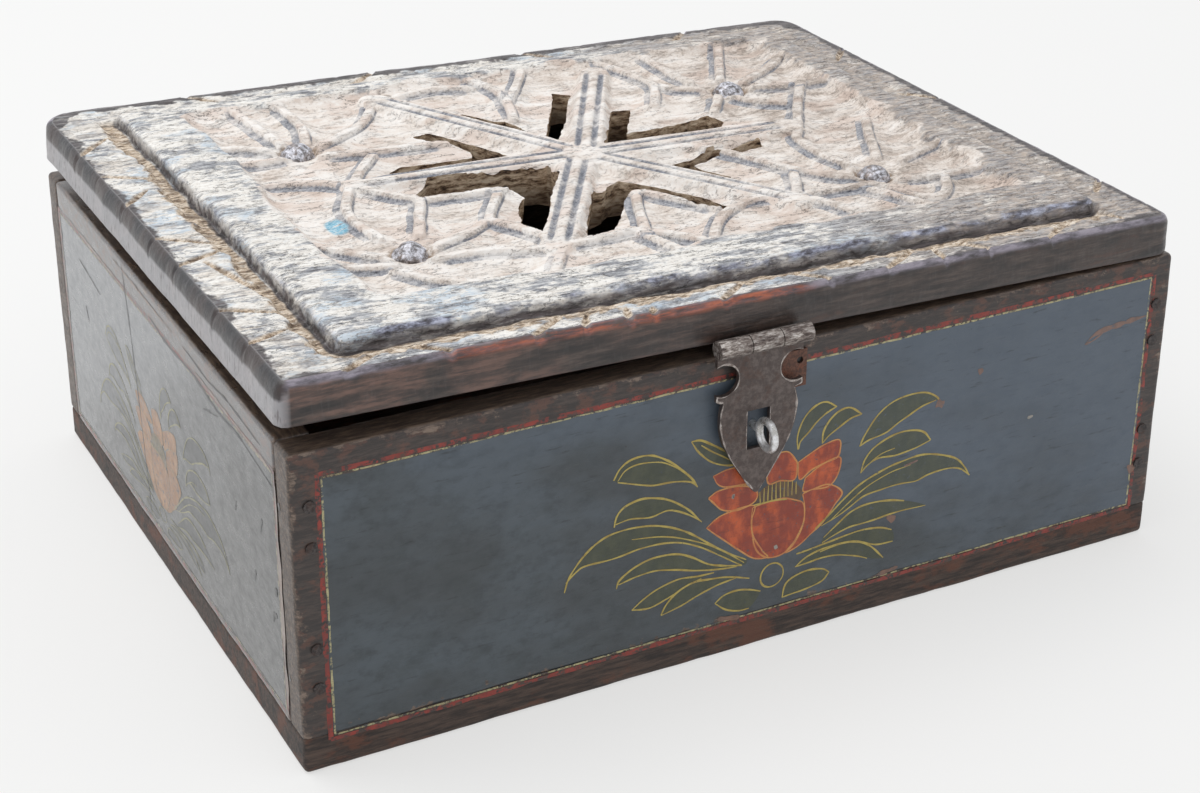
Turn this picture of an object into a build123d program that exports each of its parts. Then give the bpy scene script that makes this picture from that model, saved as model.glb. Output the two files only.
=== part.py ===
from build123d import *
import math
import os

# Old hand-made wooden box for papers and keepsakes: five nailed boards, a thick carved and pierced
# lid on two iron hinges, and an iron hasp that drops over an eye on the front.
# Origin at the middle of the underside, +X along the front, +Y to the back, +Z up, millimetres.

# Box body
box_width = 300.0
box_depth = 235.0
box_height = 102.0
wall_thickness = 11.0
bottom_thickness = 12.0
corner_wear_radius = 3.0
rim_wear_radius = 1.2
foot_wear_radius = 2.5

# Lid board, measured in its own flat frame before it is tipped
lid_left_overhang = 2.2
lid_right_inset = 0.8
lid_front_overhang = 0.6
lid_border_thickness = 13.0
lid_front_left_radius = 5.0
lid_front_right_radius = 6.0
lid_back_right_radius = 10.0
lid_back_left_radius = 13.0
lid_edge_radius = 4.5
lid_under_edge_radius = 0.8
# The old lid no longer lies flat: it touches the rim at the right and stands open at the left
lid_gap_right = 0.3
lid_gap_left = 8.3

# Raised panel, the groove around it and the sunk field
panel_left_margin = 23.5
panel_right_margin = 18.0
panel_front_margin = 17.0
panel_back_margin = 15.0
panel_thickness = 15.2
panel_corner_radius = 3.0
panel_edge_radius = 1.2
groove_width = 6.5
groove_floor = 11.4
field_left_band = 20.0
field_right_band = 12.0
field_front_band = 21.0
field_back_band = 9.0
field_floor = 11.6
field_corner_radius = 6.0

# Star of three crossing straps, with a pierced V and a leaf in each of its six sectors
star_x = 2.5
star_y = 6.0
star_arms = 6
strap_length = 152.0
strap_half_width = 6.5
strap_top = 14.4
hub_radius = 21.0
slot_width = 8.5
slot_reach = 62.0
slot_end_slant = 7.0
leaf_reach = 70.0
leaf_half_width = 15.0
leaf_top = 13.4
leaf_tip_length = 4.0

# Corner flowers around domed iron nails
flower_left_inset = 24.7
flower_right_inset = 38.2
flower_front_inset = 32.8
flower_back_inset = 46.8
petal_count = 6
petal_length = 27.0
petal_half_width = 7.5
petal_start = 6.5
petal_top = 12.8
petal_belly_share = 0.45
stud_head_radius = 5.0
stud_head_height = 4.2
stud_shank_radius = 1.6
stud_seat_margin = 1.0

# Nails
nail_head_radius = 1.8
nail_head_height = 0.5
nail_shank_radius = 0.9
corner_nail_length = 32.0
bottom_nail_length = 36.0
bottom_nail_sink = 0.2
nail_hole_clearance = 0.05
low_nail_above_bottom = 15.7
second_nail_above_bottom = 28.4
third_nail_below_rim = 29.4
high_nail_below_rim = 16.5
front_bottom_nail_count = 5
front_bottom_nail_inset = 30.0
side_bottom_nail_count = 2
side_bottom_nail_inset = 70.5

# Hinges on the back face
hinge_inset = 55.0
hinge_width = 34.0
hinge_knuckle_radius = 2.8
hinge_pin_radius = 1.3
hinge_leaf_thickness = 1.2
hinge_body_leaf_height = 17.0
hinge_lid_leaf_height = 9.0
hinge_lid_nail_height = 5.4
hinge_nail_edge = 6.0
hinge_nail_length = 9.0
hinge_axis_above_rim = 0.0

# Hasp and its barrel at the lid's front edge
hasp_x = -6.0
hasp_barrel_width = 31.0
hasp_knuckle_radius = 2.9
hasp_pin_radius = 1.2
hasp_axis_above_underside = 0.58
hasp_stand_off = 2.3
hasp_thickness = 1.4
hasp_half_width = 14.5
hasp_reach = 50.3
hasp_notch_drop = 10.9
hasp_notch_offset = 12.2
hasp_notch_radius = 5.0
hasp_shoulder_drop = 17.5
hasp_shoulder_slant = 0.5
hasp_waist_half_width = 12.2
hasp_belly_half_width = 13.2
hasp_belly_drop = 24.5
hasp_taper_half_width = 11.3
hasp_taper_drop = 33.0
hasp_taper_bulge = 0.5
hasp_tip_radius = 1.4
hasp_slot_width = 7.6
hasp_slot_top = 22.6
hasp_slot_bottom = 35.3
hasp_leaf_width = 24.0
hasp_leaf_depth = 18.0
hasp_leaf_thickness = 1.2
hasp_leaf_setback = 2.0
hasp_neck_lap = 4.0
hasp_leaf_nail_inset = 4.5
hasp_leaf_nail_length = 10.0

# Split pin whose ring is the eye
eye_below_hasp_axis = 29.0
eye_ring_radius = 4.3
eye_wire_radius = 1.2
eye_stand_off = 8.6
eye_shank_radius = 1.25
eye_hole_clearance = 0.1
eye_leg_radius = 1.1
eye_leg_length = 9.0

# Patch plate under the hasp's right notch, with one nail left and one nail hole empty
patch_left = 5.5
patch_width = 12.3
patch_low_below_rim = 15.0
patch_height = 12.0
patch_thickness = 0.8
patch_hole_radius = 1.1
patch_hole_inset = 2.4
patch_hole_drop = 3.4
patch_nail_short = 2.0

# Fits
running_clearance = 0.05
knuckle_gap = 0.3
seat_clearance = 0.05
carving_root = 0.5
cut_over_run = 1.0

os.makedirs("parts", exist_ok=True)

half_width = box_width / 2
half_depth = box_depth / 2
front_face = -half_depth
back_face = half_depth
inner_front = front_face + wall_thickness
inner_back = back_face - wall_thickness

lid_left = -half_width - lid_left_overhang
lid_right = half_width - lid_right_inset
lid_front = front_face - lid_front_overhang
lid_back = back_face
lid_length = lid_right - lid_left
lid_depth = lid_back - lid_front
lid_x = (lid_left + lid_right) / 2
lid_y = (lid_front + lid_back) / 2
lid_slope = (lid_gap_left - lid_gap_right) / lid_length
lid_tilt = math.degrees(math.atan(lid_slope))
lid_place = Location((lid_x, lid_y, box_height + (lid_gap_left + lid_gap_right) / 2), (0, lid_tilt, 0))


def lid_underside(x):
    """Height of the lid's underside over a point of the rim."""
    return box_height + lid_gap_right + (lid_right - x) * lid_slope


def save(shape, node):
    """Write one named piece of the box."""
    export_step(shape, "parts/" + node + ".step")


def block(x_low, x_high, y_low, y_high, z_low, z_high):
    """Plain block between two corners."""
    return Pos((x_low + x_high) / 2, (y_low + y_high) / 2, (z_low + z_high) / 2) * Box(
        x_high - x_low, y_high - y_low, z_high - z_low
    )


def rod(radius, length, start, direction):
    """Round rod that starts at a point and runs along a direction."""
    plane = Plane(origin=start, z_dir=direction)
    return plane * Cylinder(radius, length, align=(Align.CENTER, Align.CENTER, Align.MIN))


def nail(point, direction, length):
    """Nail with a flat head: the head lies on the surface at the point, the shank runs inwards."""
    outwards = tuple(-part for part in direction)
    head = rod(nail_head_radius, nail_head_height, point, outwards)
    shank = rod(nail_shank_radius, length, point, direction)
    return head + shank


def nail_hole(point, direction, length):
    """Hole in the wood for a nail's shank, a little deeper than the nail."""
    outwards = tuple(-part for part in direction)
    radius = nail_shank_radius + nail_hole_clearance
    into_wood = rod(radius, length + seat_clearance, point, direction)
    out_of_wood = rod(radius, nail_head_height, point, outwards)
    return into_wood + out_of_wood


def group(solids):
    """Separate solids that share one node."""
    return Compound(children=list(solids))


def span(first, last, count):
    """Evenly spaced places, both ends included."""
    step = (last - first) / (count - 1)
    return [first + step * index for index in range(count)]


# Places of the nails
nail_x = half_width - wall_thickness / 2
corner_nail_rows = (
    bottom_thickness + low_nail_above_bottom,
    bottom_thickness + second_nail_above_bottom,
    box_height - third_nail_below_rim,
    box_height - high_nail_below_rim,
)
corner_nails = {}
for name, y, direction in (("front", front_face, (0, 1, 0)), ("back", back_face, (0, -1, 0))):
    for side, x in (("left", -nail_x), ("right", nail_x)):
        places = [((x, y, z), direction, corner_nail_length) for z in corner_nail_rows]
        corner_nails[name + "_" + side + "_nails"] = places

bottom_nails = []
wall_middle_y = half_depth - wall_thickness / 2
bottom_nail_height = bottom_nail_sink + nail_head_height
front_nail_end = half_width - front_bottom_nail_inset
side_nail_end = half_depth - side_bottom_nail_inset
for x in span(-front_nail_end, front_nail_end, front_bottom_nail_count):
    for y in (-wall_middle_y, wall_middle_y):
        bottom_nails.append(((x, y, bottom_nail_height), (0, 0, 1), bottom_nail_length))
for y in span(-side_nail_end, side_nail_end, side_bottom_nail_count):
    for x in (-nail_x, nail_x):
        bottom_nails.append(((x, y, bottom_nail_height), (0, 0, 1), bottom_nail_length))

hinge_axis_y = back_face + hinge_knuckle_radius
hinge_axis_z = box_height + hinge_axis_above_rim
hinges = {"left": -half_width + hinge_inset, "right": half_width - hinge_inset}
hinge_nail_reach = hinge_width / 2 - hinge_nail_edge
hinge_leaf_face = back_face + hinge_leaf_thickness


def hinge_body_nails(x):
    """Three nails in a triangle through the leaf on the back board."""
    high = hinge_axis_z - hinge_nail_edge
    low = hinge_axis_z - hinge_body_leaf_height + hinge_nail_edge / 2
    points = ((x - hinge_nail_reach, high), (x + hinge_nail_reach, high), (x, low))
    return [((px, hinge_leaf_face, pz), (0, -1, 0), hinge_nail_length) for px, pz in points]


def hinge_lid_nails(x):
    """Two nails through the leaf on the lid's back edge."""
    points = (x - hinge_nail_reach, x + hinge_nail_reach)
    height = lid_underside(x) + hinge_lid_nail_height
    return [((px, hinge_leaf_face, height), (0, -1, 0), hinge_nail_length) for px in points]


hasp_axis_height = lid_underside(hasp_x) + hasp_axis_above_underside
eye_height = hasp_axis_height - eye_below_hasp_axis
patch_low = box_height - patch_low_below_rim
patch_face = front_face - patch_thickness
patch_nail_place = (hasp_x + patch_left - patch_hole_inset, patch_face, patch_low + patch_hole_drop)
patch_nail_length = wall_thickness - patch_nail_short


def cut_nails(board, places):
    """Board with the nail holes taken out."""
    for point, direction, length in places:
        board = board - nail_hole(point, direction, length)
    return board


# The five boards of the box
def long_board(face, inner, nails):
    """Front or back board: it runs the whole width and covers the ends of the side boards."""
    low = min(face, inner)
    high = max(face, inner)
    board = block(-half_width, half_width, low, high, bottom_thickness, box_height)
    uprights = board.edges().filter_by(Axis.Z)
    outer_uprights = uprights.filter_by(lambda edge: abs(edge.center().Y - face) < 0.01)
    board = fillet(outer_uprights, corner_wear_radius)
    rim = board.edges().filter_by(Axis.X).sort_by(Axis.Z)[-2:]
    board = fillet(rim, rim_wear_radius)
    return cut_nails(board, nails)


def side_board(outer, inner, nails):
    """Left or right board, between the front and back boards."""
    low = min(outer, inner)
    high = max(outer, inner)
    board = block(low, high, inner_front, inner_back, bottom_thickness, box_height)
    rim = board.edges().filter_by(Axis.Y).sort_by(Axis.Z)[-2:]
    board = fillet(rim, rim_wear_radius)
    return cut_nails(board, nails)


def make_bottom_board():
    """Bottom board under all four walls, its edges worn round and its nail heads sunk."""
    board = block(-half_width, half_width, -half_depth, half_depth, 0, bottom_thickness)
    board = fillet(board.edges().filter_by(Axis.Z), corner_wear_radius)
    board = fillet(board.faces().sort_by(Axis.Z)[0].edges(), foot_wear_radius)
    for point, direction, length in bottom_nails:
        x, y, z = point
        head_room = rod(nail_head_radius + nail_hole_clearance, z, (x, y, 0), (0, 0, 1))
        board = board - head_room - nail_hole(point, direction, length)
    return board


front_nails = corner_nails["front_left_nails"] + corner_nails["front_right_nails"]
back_nails = corner_nails["back_left_nails"] + corner_nails["back_right_nails"]
back_hinge_nails = hinge_body_nails(hinges["left"]) + hinge_body_nails(hinges["right"])
eye_point = (hasp_x, front_face, eye_height)
eye_hole_radius = eye_shank_radius + eye_hole_clearance

front_board = long_board(front_face, inner_front, front_nails + bottom_nails)
front_board = front_board - rod(eye_hole_radius, wall_thickness, eye_point, (0, 1, 0))
front_board = front_board - nail_hole(patch_nail_place, (0, 1, 0), patch_nail_length)
back_board = long_board(back_face, inner_back, back_nails + bottom_nails + back_hinge_nails)
left_nails = corner_nails["front_left_nails"] + corner_nails["back_left_nails"] + bottom_nails
right_nails = corner_nails["front_right_nails"] + corner_nails["back_right_nails"] + bottom_nails

save(front_board, "front_board")
save(back_board, "back_board")
save(side_board(-half_width, -half_width + wall_thickness, left_nails), "left_board")
save(side_board(half_width, half_width - wall_thickness, right_nails), "right_board")
save(make_bottom_board(), "bottom_board")

for node, places in corner_nails.items():
    save(group(nail(*place) for place in places), node)
save(group(nail(*place) for place in bottom_nails), "bottom_nails")


# The carved lid
panel_left = -lid_length / 2 + panel_left_margin
panel_right = lid_length / 2 - panel_right_margin
panel_front = -lid_depth / 2 + panel_front_margin
panel_back = lid_depth / 2 - panel_back_margin
field_left = panel_left + field_left_band
field_right = panel_right - field_right_band
field_front = panel_front + field_front_band
field_back = panel_back - field_back_band
star_centre = Vector(star_x, star_y)
sector_angle = 360.0 / star_arms


def rounded_slab(x_low, x_high, y_low, y_high, z_low, z_high, radius):
    """Flat slab with rounded corners in plan."""
    slab = block(x_low, x_high, y_low, y_high, z_low, z_high)
    return fillet(slab.edges().filter_by(Axis.Z), radius)


def heading(angle):
    """Unit vector in plan at an angle from +X."""
    return Vector(math.cos(math.radians(angle)), math.sin(math.radians(angle)))


def prism(points, z_low, z_high):
    """Upright prism over an outline given as plan vectors."""
    outline = Polyline(*[(point.X, point.Y) for point in points], close=True)
    return Pos(0, 0, z_low) * extrude(make_face(outline), z_high - z_low)


def sector_slot(angle):
    """Pierced V between two arms: its legs run beside the straps and stop short of the hub."""
    arm_one = heading(angle - sector_angle / 2)
    arm_two = heading(angle + sector_angle / 2)
    side_one = heading(angle - sector_angle / 2 + 90)
    side_two = heading(angle + sector_angle / 2 - 90)
    bisector = heading(angle)
    inner = strap_half_width
    outer = strap_half_width + slot_width
    half_sector = math.sin(math.radians(sector_angle / 2))
    points = [
        star_centre + bisector * (inner / half_sector),
        star_centre + arm_one * slot_reach + side_one * inner,
        star_centre + arm_one * (slot_reach - slot_end_slant) + side_one * outer,
        star_centre + bisector * (outer / half_sector),
        star_centre + arm_two * (slot_reach - slot_end_slant) + side_two * outer,
        star_centre + arm_two * slot_reach + side_two * inner,
    ]
    slot = prism(points, -cut_over_run, panel_thickness + cut_over_run)
    hub = Pos(star_x, star_y, 0) * Cylinder(hub_radius, 4 * panel_thickness)
    return slot - hub


def sector_leaf(angle):
    """Raised pointed leaf that fills a sector behind its pierced V."""
    bisector = heading(angle)
    across = heading(angle + 90)
    half_sector = math.sin(math.radians(sector_angle / 2))
    tip = (strap_half_width + slot_width) / half_sector
    belly = tip + leaf_half_width / math.tan(math.radians(sector_angle / 2))
    reach = min(leaf_reach, slot_limit(bisector))
    belly = min(belly, reach - leaf_tip_length)
    points = [
        star_centre + bisector * tip,
        star_centre + bisector * belly - across * (belly - tip) * math.tan(math.radians(sector_angle / 2)),
        star_centre + bisector * reach,
        star_centre + bisector * belly + across * (belly - tip) * math.tan(math.radians(sector_angle / 2)),
    ]
    return prism(points, field_floor - carving_root, leaf_top)


def slot_limit(direction):
    """How far a ray from the star's middle runs before the field's edge."""
    limits = []
    if abs(direction.X) > 1e-6:
        edge = field_right if direction.X > 0 else field_left
        limits.append((edge - star_x) / direction.X)
    if abs(direction.Y) > 1e-6:
        edge = field_back if direction.Y > 0 else field_front
        limits.append((edge - star_y) / direction.Y)
    return min(limits)


def petal(centre, angle):
    """Shallow petal: two arcs that meet in a point away from the nail."""
    along = heading(angle)
    across = heading(angle + 90)
    start = centre + along * petal_start
    tip = centre + along * (petal_start + petal_length)
    middle = centre + along * (petal_start + petal_length * petal_belly_share)
    left = middle + across * petal_half_width
    right = middle - across * petal_half_width
    left_edge = ThreePointArc((start.X, start.Y), (left.X, left.Y), (tip.X, tip.Y))
    right_edge = ThreePointArc((tip.X, tip.Y), (right.X, right.Y), (start.X, start.Y))
    outline = make_face(left_edge + right_edge)
    return Pos(0, 0, field_floor - carving_root) * extrude(outline, petal_top - field_floor + carving_root)


def flower_places():
    """Middles of the four corner flowers, by name."""
    left = field_left + flower_left_inset
    right = field_right - flower_right_inset
    front = field_front + flower_front_inset
    back = field_back - flower_back_inset
    return {
        "stud_front_left": (left, front),
        "stud_front_right": (right, front),
        "stud_back_left": (left, back),
        "stud_back_right": (right, back),
    }


def make_lid_board():
    """Lid in its own flat frame: border, groove, raised panel, sunk field, star and flowers."""
    lid = block(-lid_length / 2, lid_length / 2, -lid_depth / 2, lid_depth / 2, 0, lid_border_thickness)
    corners = (
        (-1, -1, lid_front_left_radius), (1, -1, lid_front_right_radius),
        (1, 1, lid_back_right_radius), (-1, 1, lid_back_left_radius),
    )
    for side_x, side_y, radius in corners:
        uprights = lid.edges().filter_by(Axis.Z)
        outermost = uprights.sort_by(lambda edge: edge.center().X * side_x + edge.center().Y * side_y)[-1]
        lid = fillet(outermost, radius)
    lid = fillet(lid.faces().sort_by(Axis.Z)[-1].edges(), lid_edge_radius)
    lid = fillet(lid.faces().sort_by(Axis.Z)[0].edges(), lid_under_edge_radius)
    groove = rounded_slab(
        panel_left - groove_width, panel_right + groove_width, panel_front - groove_width,
        panel_back + groove_width, groove_floor, panel_thickness, panel_corner_radius
    )
    panel = rounded_slab(
        panel_left, panel_right, panel_front, panel_back, groove_floor - carving_root, panel_thickness,
        panel_corner_radius
    )
    panel = fillet(panel.faces().sort_by(Axis.Z)[-1].edges(), panel_edge_radius)
    field = rounded_slab(
        field_left, field_right, field_front, field_back, field_floor, panel_thickness + cut_over_run,
        field_corner_radius
    )
    field_room = rounded_slab(
        field_left, field_right, field_front, field_back, carving_root, panel_thickness + cut_over_run,
        field_corner_radius
    )
    lid = lid - groove + panel - field
    strap_height = strap_top - field_floor + carving_root
    strap_middle = strap_top - strap_height / 2
    carving = Pos(star_x, star_y, strap_middle) * Cylinder(hub_radius, strap_height)
    for arm in range(star_arms // 2):
        strap = Rot(0, 0, arm * sector_angle) * Box(strap_length, 2 * strap_half_width, strap_height)
        carving = carving + Pos(star_x, star_y, strap_middle) * strap
    for sector in range(star_arms):
        carving = carving + sector_leaf((sector + 0.5) * sector_angle)
    for x, y in flower_places().values():
        for index in range(petal_count):
            carving = carving + petal(Vector(x, y), (index + 0.5) * 360.0 / petal_count)
    lid = lid + (carving & field_room)
    for sector in range(star_arms):
        lid = lid - sector_slot((sector + 0.5) * sector_angle)
    for x, y in flower_places().values():
        hole_radius = stud_shank_radius + nail_hole_clearance
        hole = rod(hole_radius, 2 * panel_thickness, (x, y, -cut_over_run), (0, 0, 1))
        seat = rod(stud_head_radius + stud_seat_margin, panel_thickness, (x, y, field_floor), (0, 0, 1))
        lid = lid - hole - seat
    return lid


def make_stud(x, y):
    """Domed iron nail through the lid, cut off level with the underside."""
    sphere_radius = (stud_head_radius ** 2 + stud_head_height ** 2) / (2 * stud_head_height)
    ball = Pos(x, y, field_floor + stud_head_height - sphere_radius) * Sphere(sphere_radius)
    room = 2 * stud_head_radius
    above = block(x - room, x + room, y - room, y + room, field_floor, field_floor + room)
    shank = rod(stud_shank_radius, field_floor + stud_head_height / 4, (x, y, 0), (0, 0, 1))
    return (ball & above) + shank


# Iron leaf of the hasp, nailed under the lid, and its barrel
barrel_left = hasp_x - hasp_barrel_width / 2
barrel_right = hasp_x + hasp_barrel_width / 2
hasp_knuckle_width = (hasp_barrel_width - 2 * knuckle_gap) / 3
hasp_axis_y = front_face - hasp_stand_off - hasp_knuckle_radius
hasp_bore_radius = hasp_pin_radius + running_clearance
hasp_leaf_local_x = hasp_x - lid_x
hasp_leaf_front = -lid_depth / 2
hasp_leaf_back = hasp_leaf_front + hasp_leaf_depth
hasp_leaf_nail_places = []
for x in (-1, 1):
    nail_reach = hasp_leaf_width / 2 - hasp_leaf_nail_inset
    nail_y = hasp_leaf_back - hasp_leaf_nail_inset
    nail_place = (hasp_leaf_local_x + x * nail_reach, nail_y, -hasp_leaf_thickness)
    hasp_leaf_nail_places.append((nail_place, (0, 0, 1), hasp_leaf_nail_length))

lid_board = make_lid_board()
for place in hasp_leaf_nail_places:
    lid_board = lid_board - nail_hole(*place)
lid_board = lid_place * lid_board
for x in hinges.values():
    lid_board = cut_nails(lid_board, hinge_lid_nails(x))
save(lid_board, "lid_board")
for node, (x, y) in flower_places().items():
    save(lid_place * make_stud(x, y), node)


def barrel_knuckle(x_low, x_high, axis_y, axis_z, radius, bore):
    """Rolled knuckle around a pin that runs along X."""
    outside = rod(radius, x_high - x_low, (x_low, axis_y, axis_z), (1, 0, 0))
    inside = rod(bore, x_high - x_low + 2 * cut_over_run, (x_low - cut_over_run, axis_y, axis_z), (1, 0, 0))
    return outside - inside, inside


def make_hasp_leaf():
    """Fixed leaf: flat under the lid, with the middle knuckle rolled in front of the lid."""
    x_low = barrel_left + hasp_knuckle_width + knuckle_gap
    x_high = x_low + hasp_knuckle_width
    knuckle, bore = barrel_knuckle(
        x_low, x_high, hasp_axis_y, hasp_axis_height, hasp_knuckle_radius, hasp_bore_radius
    )
    leaf = block(
        hasp_leaf_local_x - hasp_leaf_width / 2, hasp_leaf_local_x + hasp_leaf_width / 2,
        hasp_leaf_front + hasp_leaf_setback, hasp_leaf_back, -hasp_leaf_thickness, 0
    )
    for point, direction, length in hasp_leaf_nail_places:
        hole_start = (point[0], point[1], -2 * hasp_leaf_thickness)
        hole_radius = nail_shank_radius + nail_hole_clearance
        leaf = leaf - rod(hole_radius, 3 * hasp_leaf_thickness, hole_start, direction)
    leaf = lid_place * leaf
    top = lid_underside(x_high)
    neck = block(x_low, x_high, hasp_axis_y, lid_front + hasp_neck_lap, top - hasp_leaf_thickness, top)
    return (knuckle + (neck - bore)) + leaf


def make_hasp_plate():
    """Swinging plate: two outer knuckles and a notched leaf-shaped plate with a slot."""
    knuckles = []
    for x_low in (barrel_left, barrel_right - hasp_knuckle_width):
        x_high = x_low + hasp_knuckle_width
        ring, bore = barrel_knuckle(
            x_low, x_high, hasp_axis_y, hasp_axis_height, hasp_knuckle_radius, hasp_bore_radius
        )
        knuckles.append(ring)
    relief = hasp_knuckle_radius + knuckle_gap
    tip_half = hasp_tip_radius * 0.9
    tip_drop = hasp_reach - hasp_tip_radius * 0.6
    mid_taper_half = (hasp_taper_half_width + tip_half) / 2 + hasp_taper_bulge
    mid_taper_drop = (hasp_taper_drop + tip_drop) / 2
    shoulder_low = hasp_shoulder_drop + hasp_shoulder_slant
    mouth_width = 1.6 * hasp_notch_radius
    mouth_middle = hasp_notch_offset + mouth_width / 2
    with BuildSketch(Plane.XZ) as outline:
        with BuildLine():
            Polyline(
                (-hasp_half_width, 0), (hasp_half_width, 0), (hasp_half_width, -hasp_shoulder_drop),
                (hasp_waist_half_width, -shoulder_low)
            )
            ThreePointArc(
                (hasp_waist_half_width, -shoulder_low), (hasp_belly_half_width, -hasp_belly_drop),
                (hasp_taper_half_width, -hasp_taper_drop)
            )
            ThreePointArc(
                (hasp_taper_half_width, -hasp_taper_drop), (mid_taper_half, -mid_taper_drop),
                (tip_half, -tip_drop)
            )
            ThreePointArc((tip_half, -tip_drop), (0, -hasp_reach), (-tip_half, -tip_drop))
            ThreePointArc(
                (-tip_half, -tip_drop), (-mid_taper_half, -mid_taper_drop),
                (-hasp_taper_half_width, -hasp_taper_drop)
            )
            ThreePointArc(
                (-hasp_taper_half_width, -hasp_taper_drop), (-hasp_belly_half_width, -hasp_belly_drop),
                (-hasp_waist_half_width, -shoulder_low)
            )
            Polyline(
                (-hasp_waist_half_width, -shoulder_low), (-hasp_half_width, -hasp_shoulder_drop),
                (-hasp_half_width, 0)
            )
        make_face()
        with Locations((-hasp_notch_offset, -hasp_notch_drop), (hasp_notch_offset, -hasp_notch_drop)):
            Circle(hasp_notch_radius, mode=Mode.SUBTRACT)
        with Locations((mouth_middle, -hasp_notch_drop), (-mouth_middle, -hasp_notch_drop)):
            Rectangle(mouth_width, 1.5 * hasp_notch_radius, mode=Mode.SUBTRACT)
        with Locations((0, -(hasp_slot_top + hasp_slot_bottom) / 2)):
            Rectangle(hasp_slot_width, hasp_slot_bottom - hasp_slot_top, mode=Mode.SUBTRACT)
    plate = extrude(outline.sketch, hasp_thickness)
    plate = Pos(hasp_x, front_face - hasp_stand_off, hasp_axis_height) * plate
    middle_low = barrel_left + hasp_knuckle_width
    middle_high = barrel_right - hasp_knuckle_width
    window = block(
        middle_low, middle_high, hasp_axis_y - relief, front_face, hasp_axis_height - relief,
        hasp_axis_height + relief
    )
    bore_start = (barrel_left - cut_over_run, hasp_axis_y, hasp_axis_height)
    bore = rod(hasp_bore_radius, hasp_barrel_width + 2 * cut_over_run, bore_start, (1, 0, 0))
    return (plate - window - bore) + knuckles[0] + knuckles[1]


save(make_hasp_leaf(), "hasp_leaf")
save(lid_place * group(nail(*place) for place in hasp_leaf_nail_places), "hasp_leaf_nails")
hasp_pin_start = (barrel_left, hasp_axis_y, hasp_axis_height)
save(rod(hasp_pin_radius, hasp_barrel_width, hasp_pin_start, (1, 0, 0)), "hasp_pin")
save(make_hasp_plate(), "hasp_plate")


# Split-pin eye and patch plate on the front board
def make_eye_pin():
    """Ring in front of the board, shank through it and two legs bent flat inside."""
    ring_y = front_face - eye_stand_off
    ring = Pos(hasp_x, ring_y, eye_height) * Rot(0, 90, 0) * Torus(eye_ring_radius, eye_wire_radius)
    leg_y = inner_front + seat_clearance + eye_leg_radius
    shank_start = ring_y + eye_ring_radius
    shank = rod(eye_shank_radius, leg_y - shank_start, (hasp_x, shank_start, eye_height), (0, 1, 0))
    elbow = Pos(hasp_x, leg_y, eye_height) * Sphere(eye_leg_radius)
    upper = rod(eye_leg_radius, eye_leg_length, (hasp_x, leg_y, eye_height), (0, 0, 1))
    lower = rod(eye_leg_radius, eye_leg_length, (hasp_x, leg_y, eye_height), (0, 0, -1))
    return ring + shank + elbow + upper + lower


def make_patch_plate():
    """Thin iron patch with an empty nail hole in its free corner."""
    left = hasp_x + patch_left
    plate = block(left, left + patch_width, patch_face, front_face, patch_low, patch_low + patch_height)
    hole_x = left + patch_width - patch_hole_inset
    hole_z = patch_low + patch_height - patch_hole_drop
    hole_start = (hole_x, patch_face - cut_over_run, hole_z)
    empty_hole = rod(patch_hole_radius, patch_thickness + 2 * cut_over_run, hole_start, (0, 1, 0))
    nail_room = rod(nail_shank_radius + nail_hole_clearance, 2 * patch_thickness, patch_nail_place, (0, 1, 0))
    return plate - empty_hole - nail_room


save(make_eye_pin(), "eye_pin")
save(make_patch_plate(), "patch_plate")
save(nail(patch_nail_place, (0, 1, 0), patch_nail_length), "patch_nail")


# Back hinges
def hinge_leaf(x, z_low, z_high, knuckle_indexes, nails):
    """Leaf flat on the back, with its share of the three knuckles; z_low or z_high is the axis side."""
    knuckle_width = (hinge_width - 2 * knuckle_gap) / 3
    left = x - hinge_width / 2
    leaf = block(left, left + hinge_width, back_face, hinge_leaf_face, z_low, z_high)
    bore_radius = hinge_pin_radius + running_clearance
    relief = hinge_knuckle_radius + knuckle_gap
    for index in range(3):
        x_low = left + index * (knuckle_width + knuckle_gap)
        if index not in knuckle_indexes:
            leaf = leaf - block(
                x_low - knuckle_gap, x_low + knuckle_width + knuckle_gap, back_face - cut_over_run,
                hinge_axis_y + relief, hinge_axis_z - relief, hinge_axis_z + relief
            )
    for index in knuckle_indexes:
        x_low = left + index * (knuckle_width + knuckle_gap)
        knuckle, bore = barrel_knuckle(
            x_low, x_low + knuckle_width, hinge_axis_y, hinge_axis_z, hinge_knuckle_radius, bore_radius
        )
        leaf = leaf + knuckle
    for point, direction, length in nails:
        start = (point[0], point[1] + cut_over_run, point[2])
        hole_length = hinge_leaf_thickness + 2 * cut_over_run
        leaf = leaf - rod(nail_shank_radius + nail_hole_clearance, hole_length, start, direction)
    return leaf


for side, x in hinges.items():
    body_nails = hinge_body_nails(x)
    lid_nails = hinge_lid_nails(x)
    body_leaf = hinge_leaf(x, hinge_axis_z - hinge_body_leaf_height, hinge_axis_z, (0, 2), body_nails)
    lid_leaf = hinge_leaf(x, hinge_axis_z, lid_underside(x) + hinge_lid_leaf_height, (1,), lid_nails)
    pin = rod(hinge_pin_radius, hinge_width, (x - hinge_width / 2, hinge_axis_y, hinge_axis_z), (1, 0, 0))
    save(body_leaf, "hinge_" + side + "_body_leaf")
    save(lid_leaf, "hinge_" + side + "_lid_leaf")
    save(pin, "hinge_" + side + "_pin")
    save(group(nail(*place) for place in body_nails), "hinge_" + side + "_body_nails")
    save(group(nail(*place) for place in lid_nails), "hinge_" + side + "_lid_nails")
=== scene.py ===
import bpy
import math
import numpy as np
from mathutils import Matrix, Vector, geometry


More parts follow.
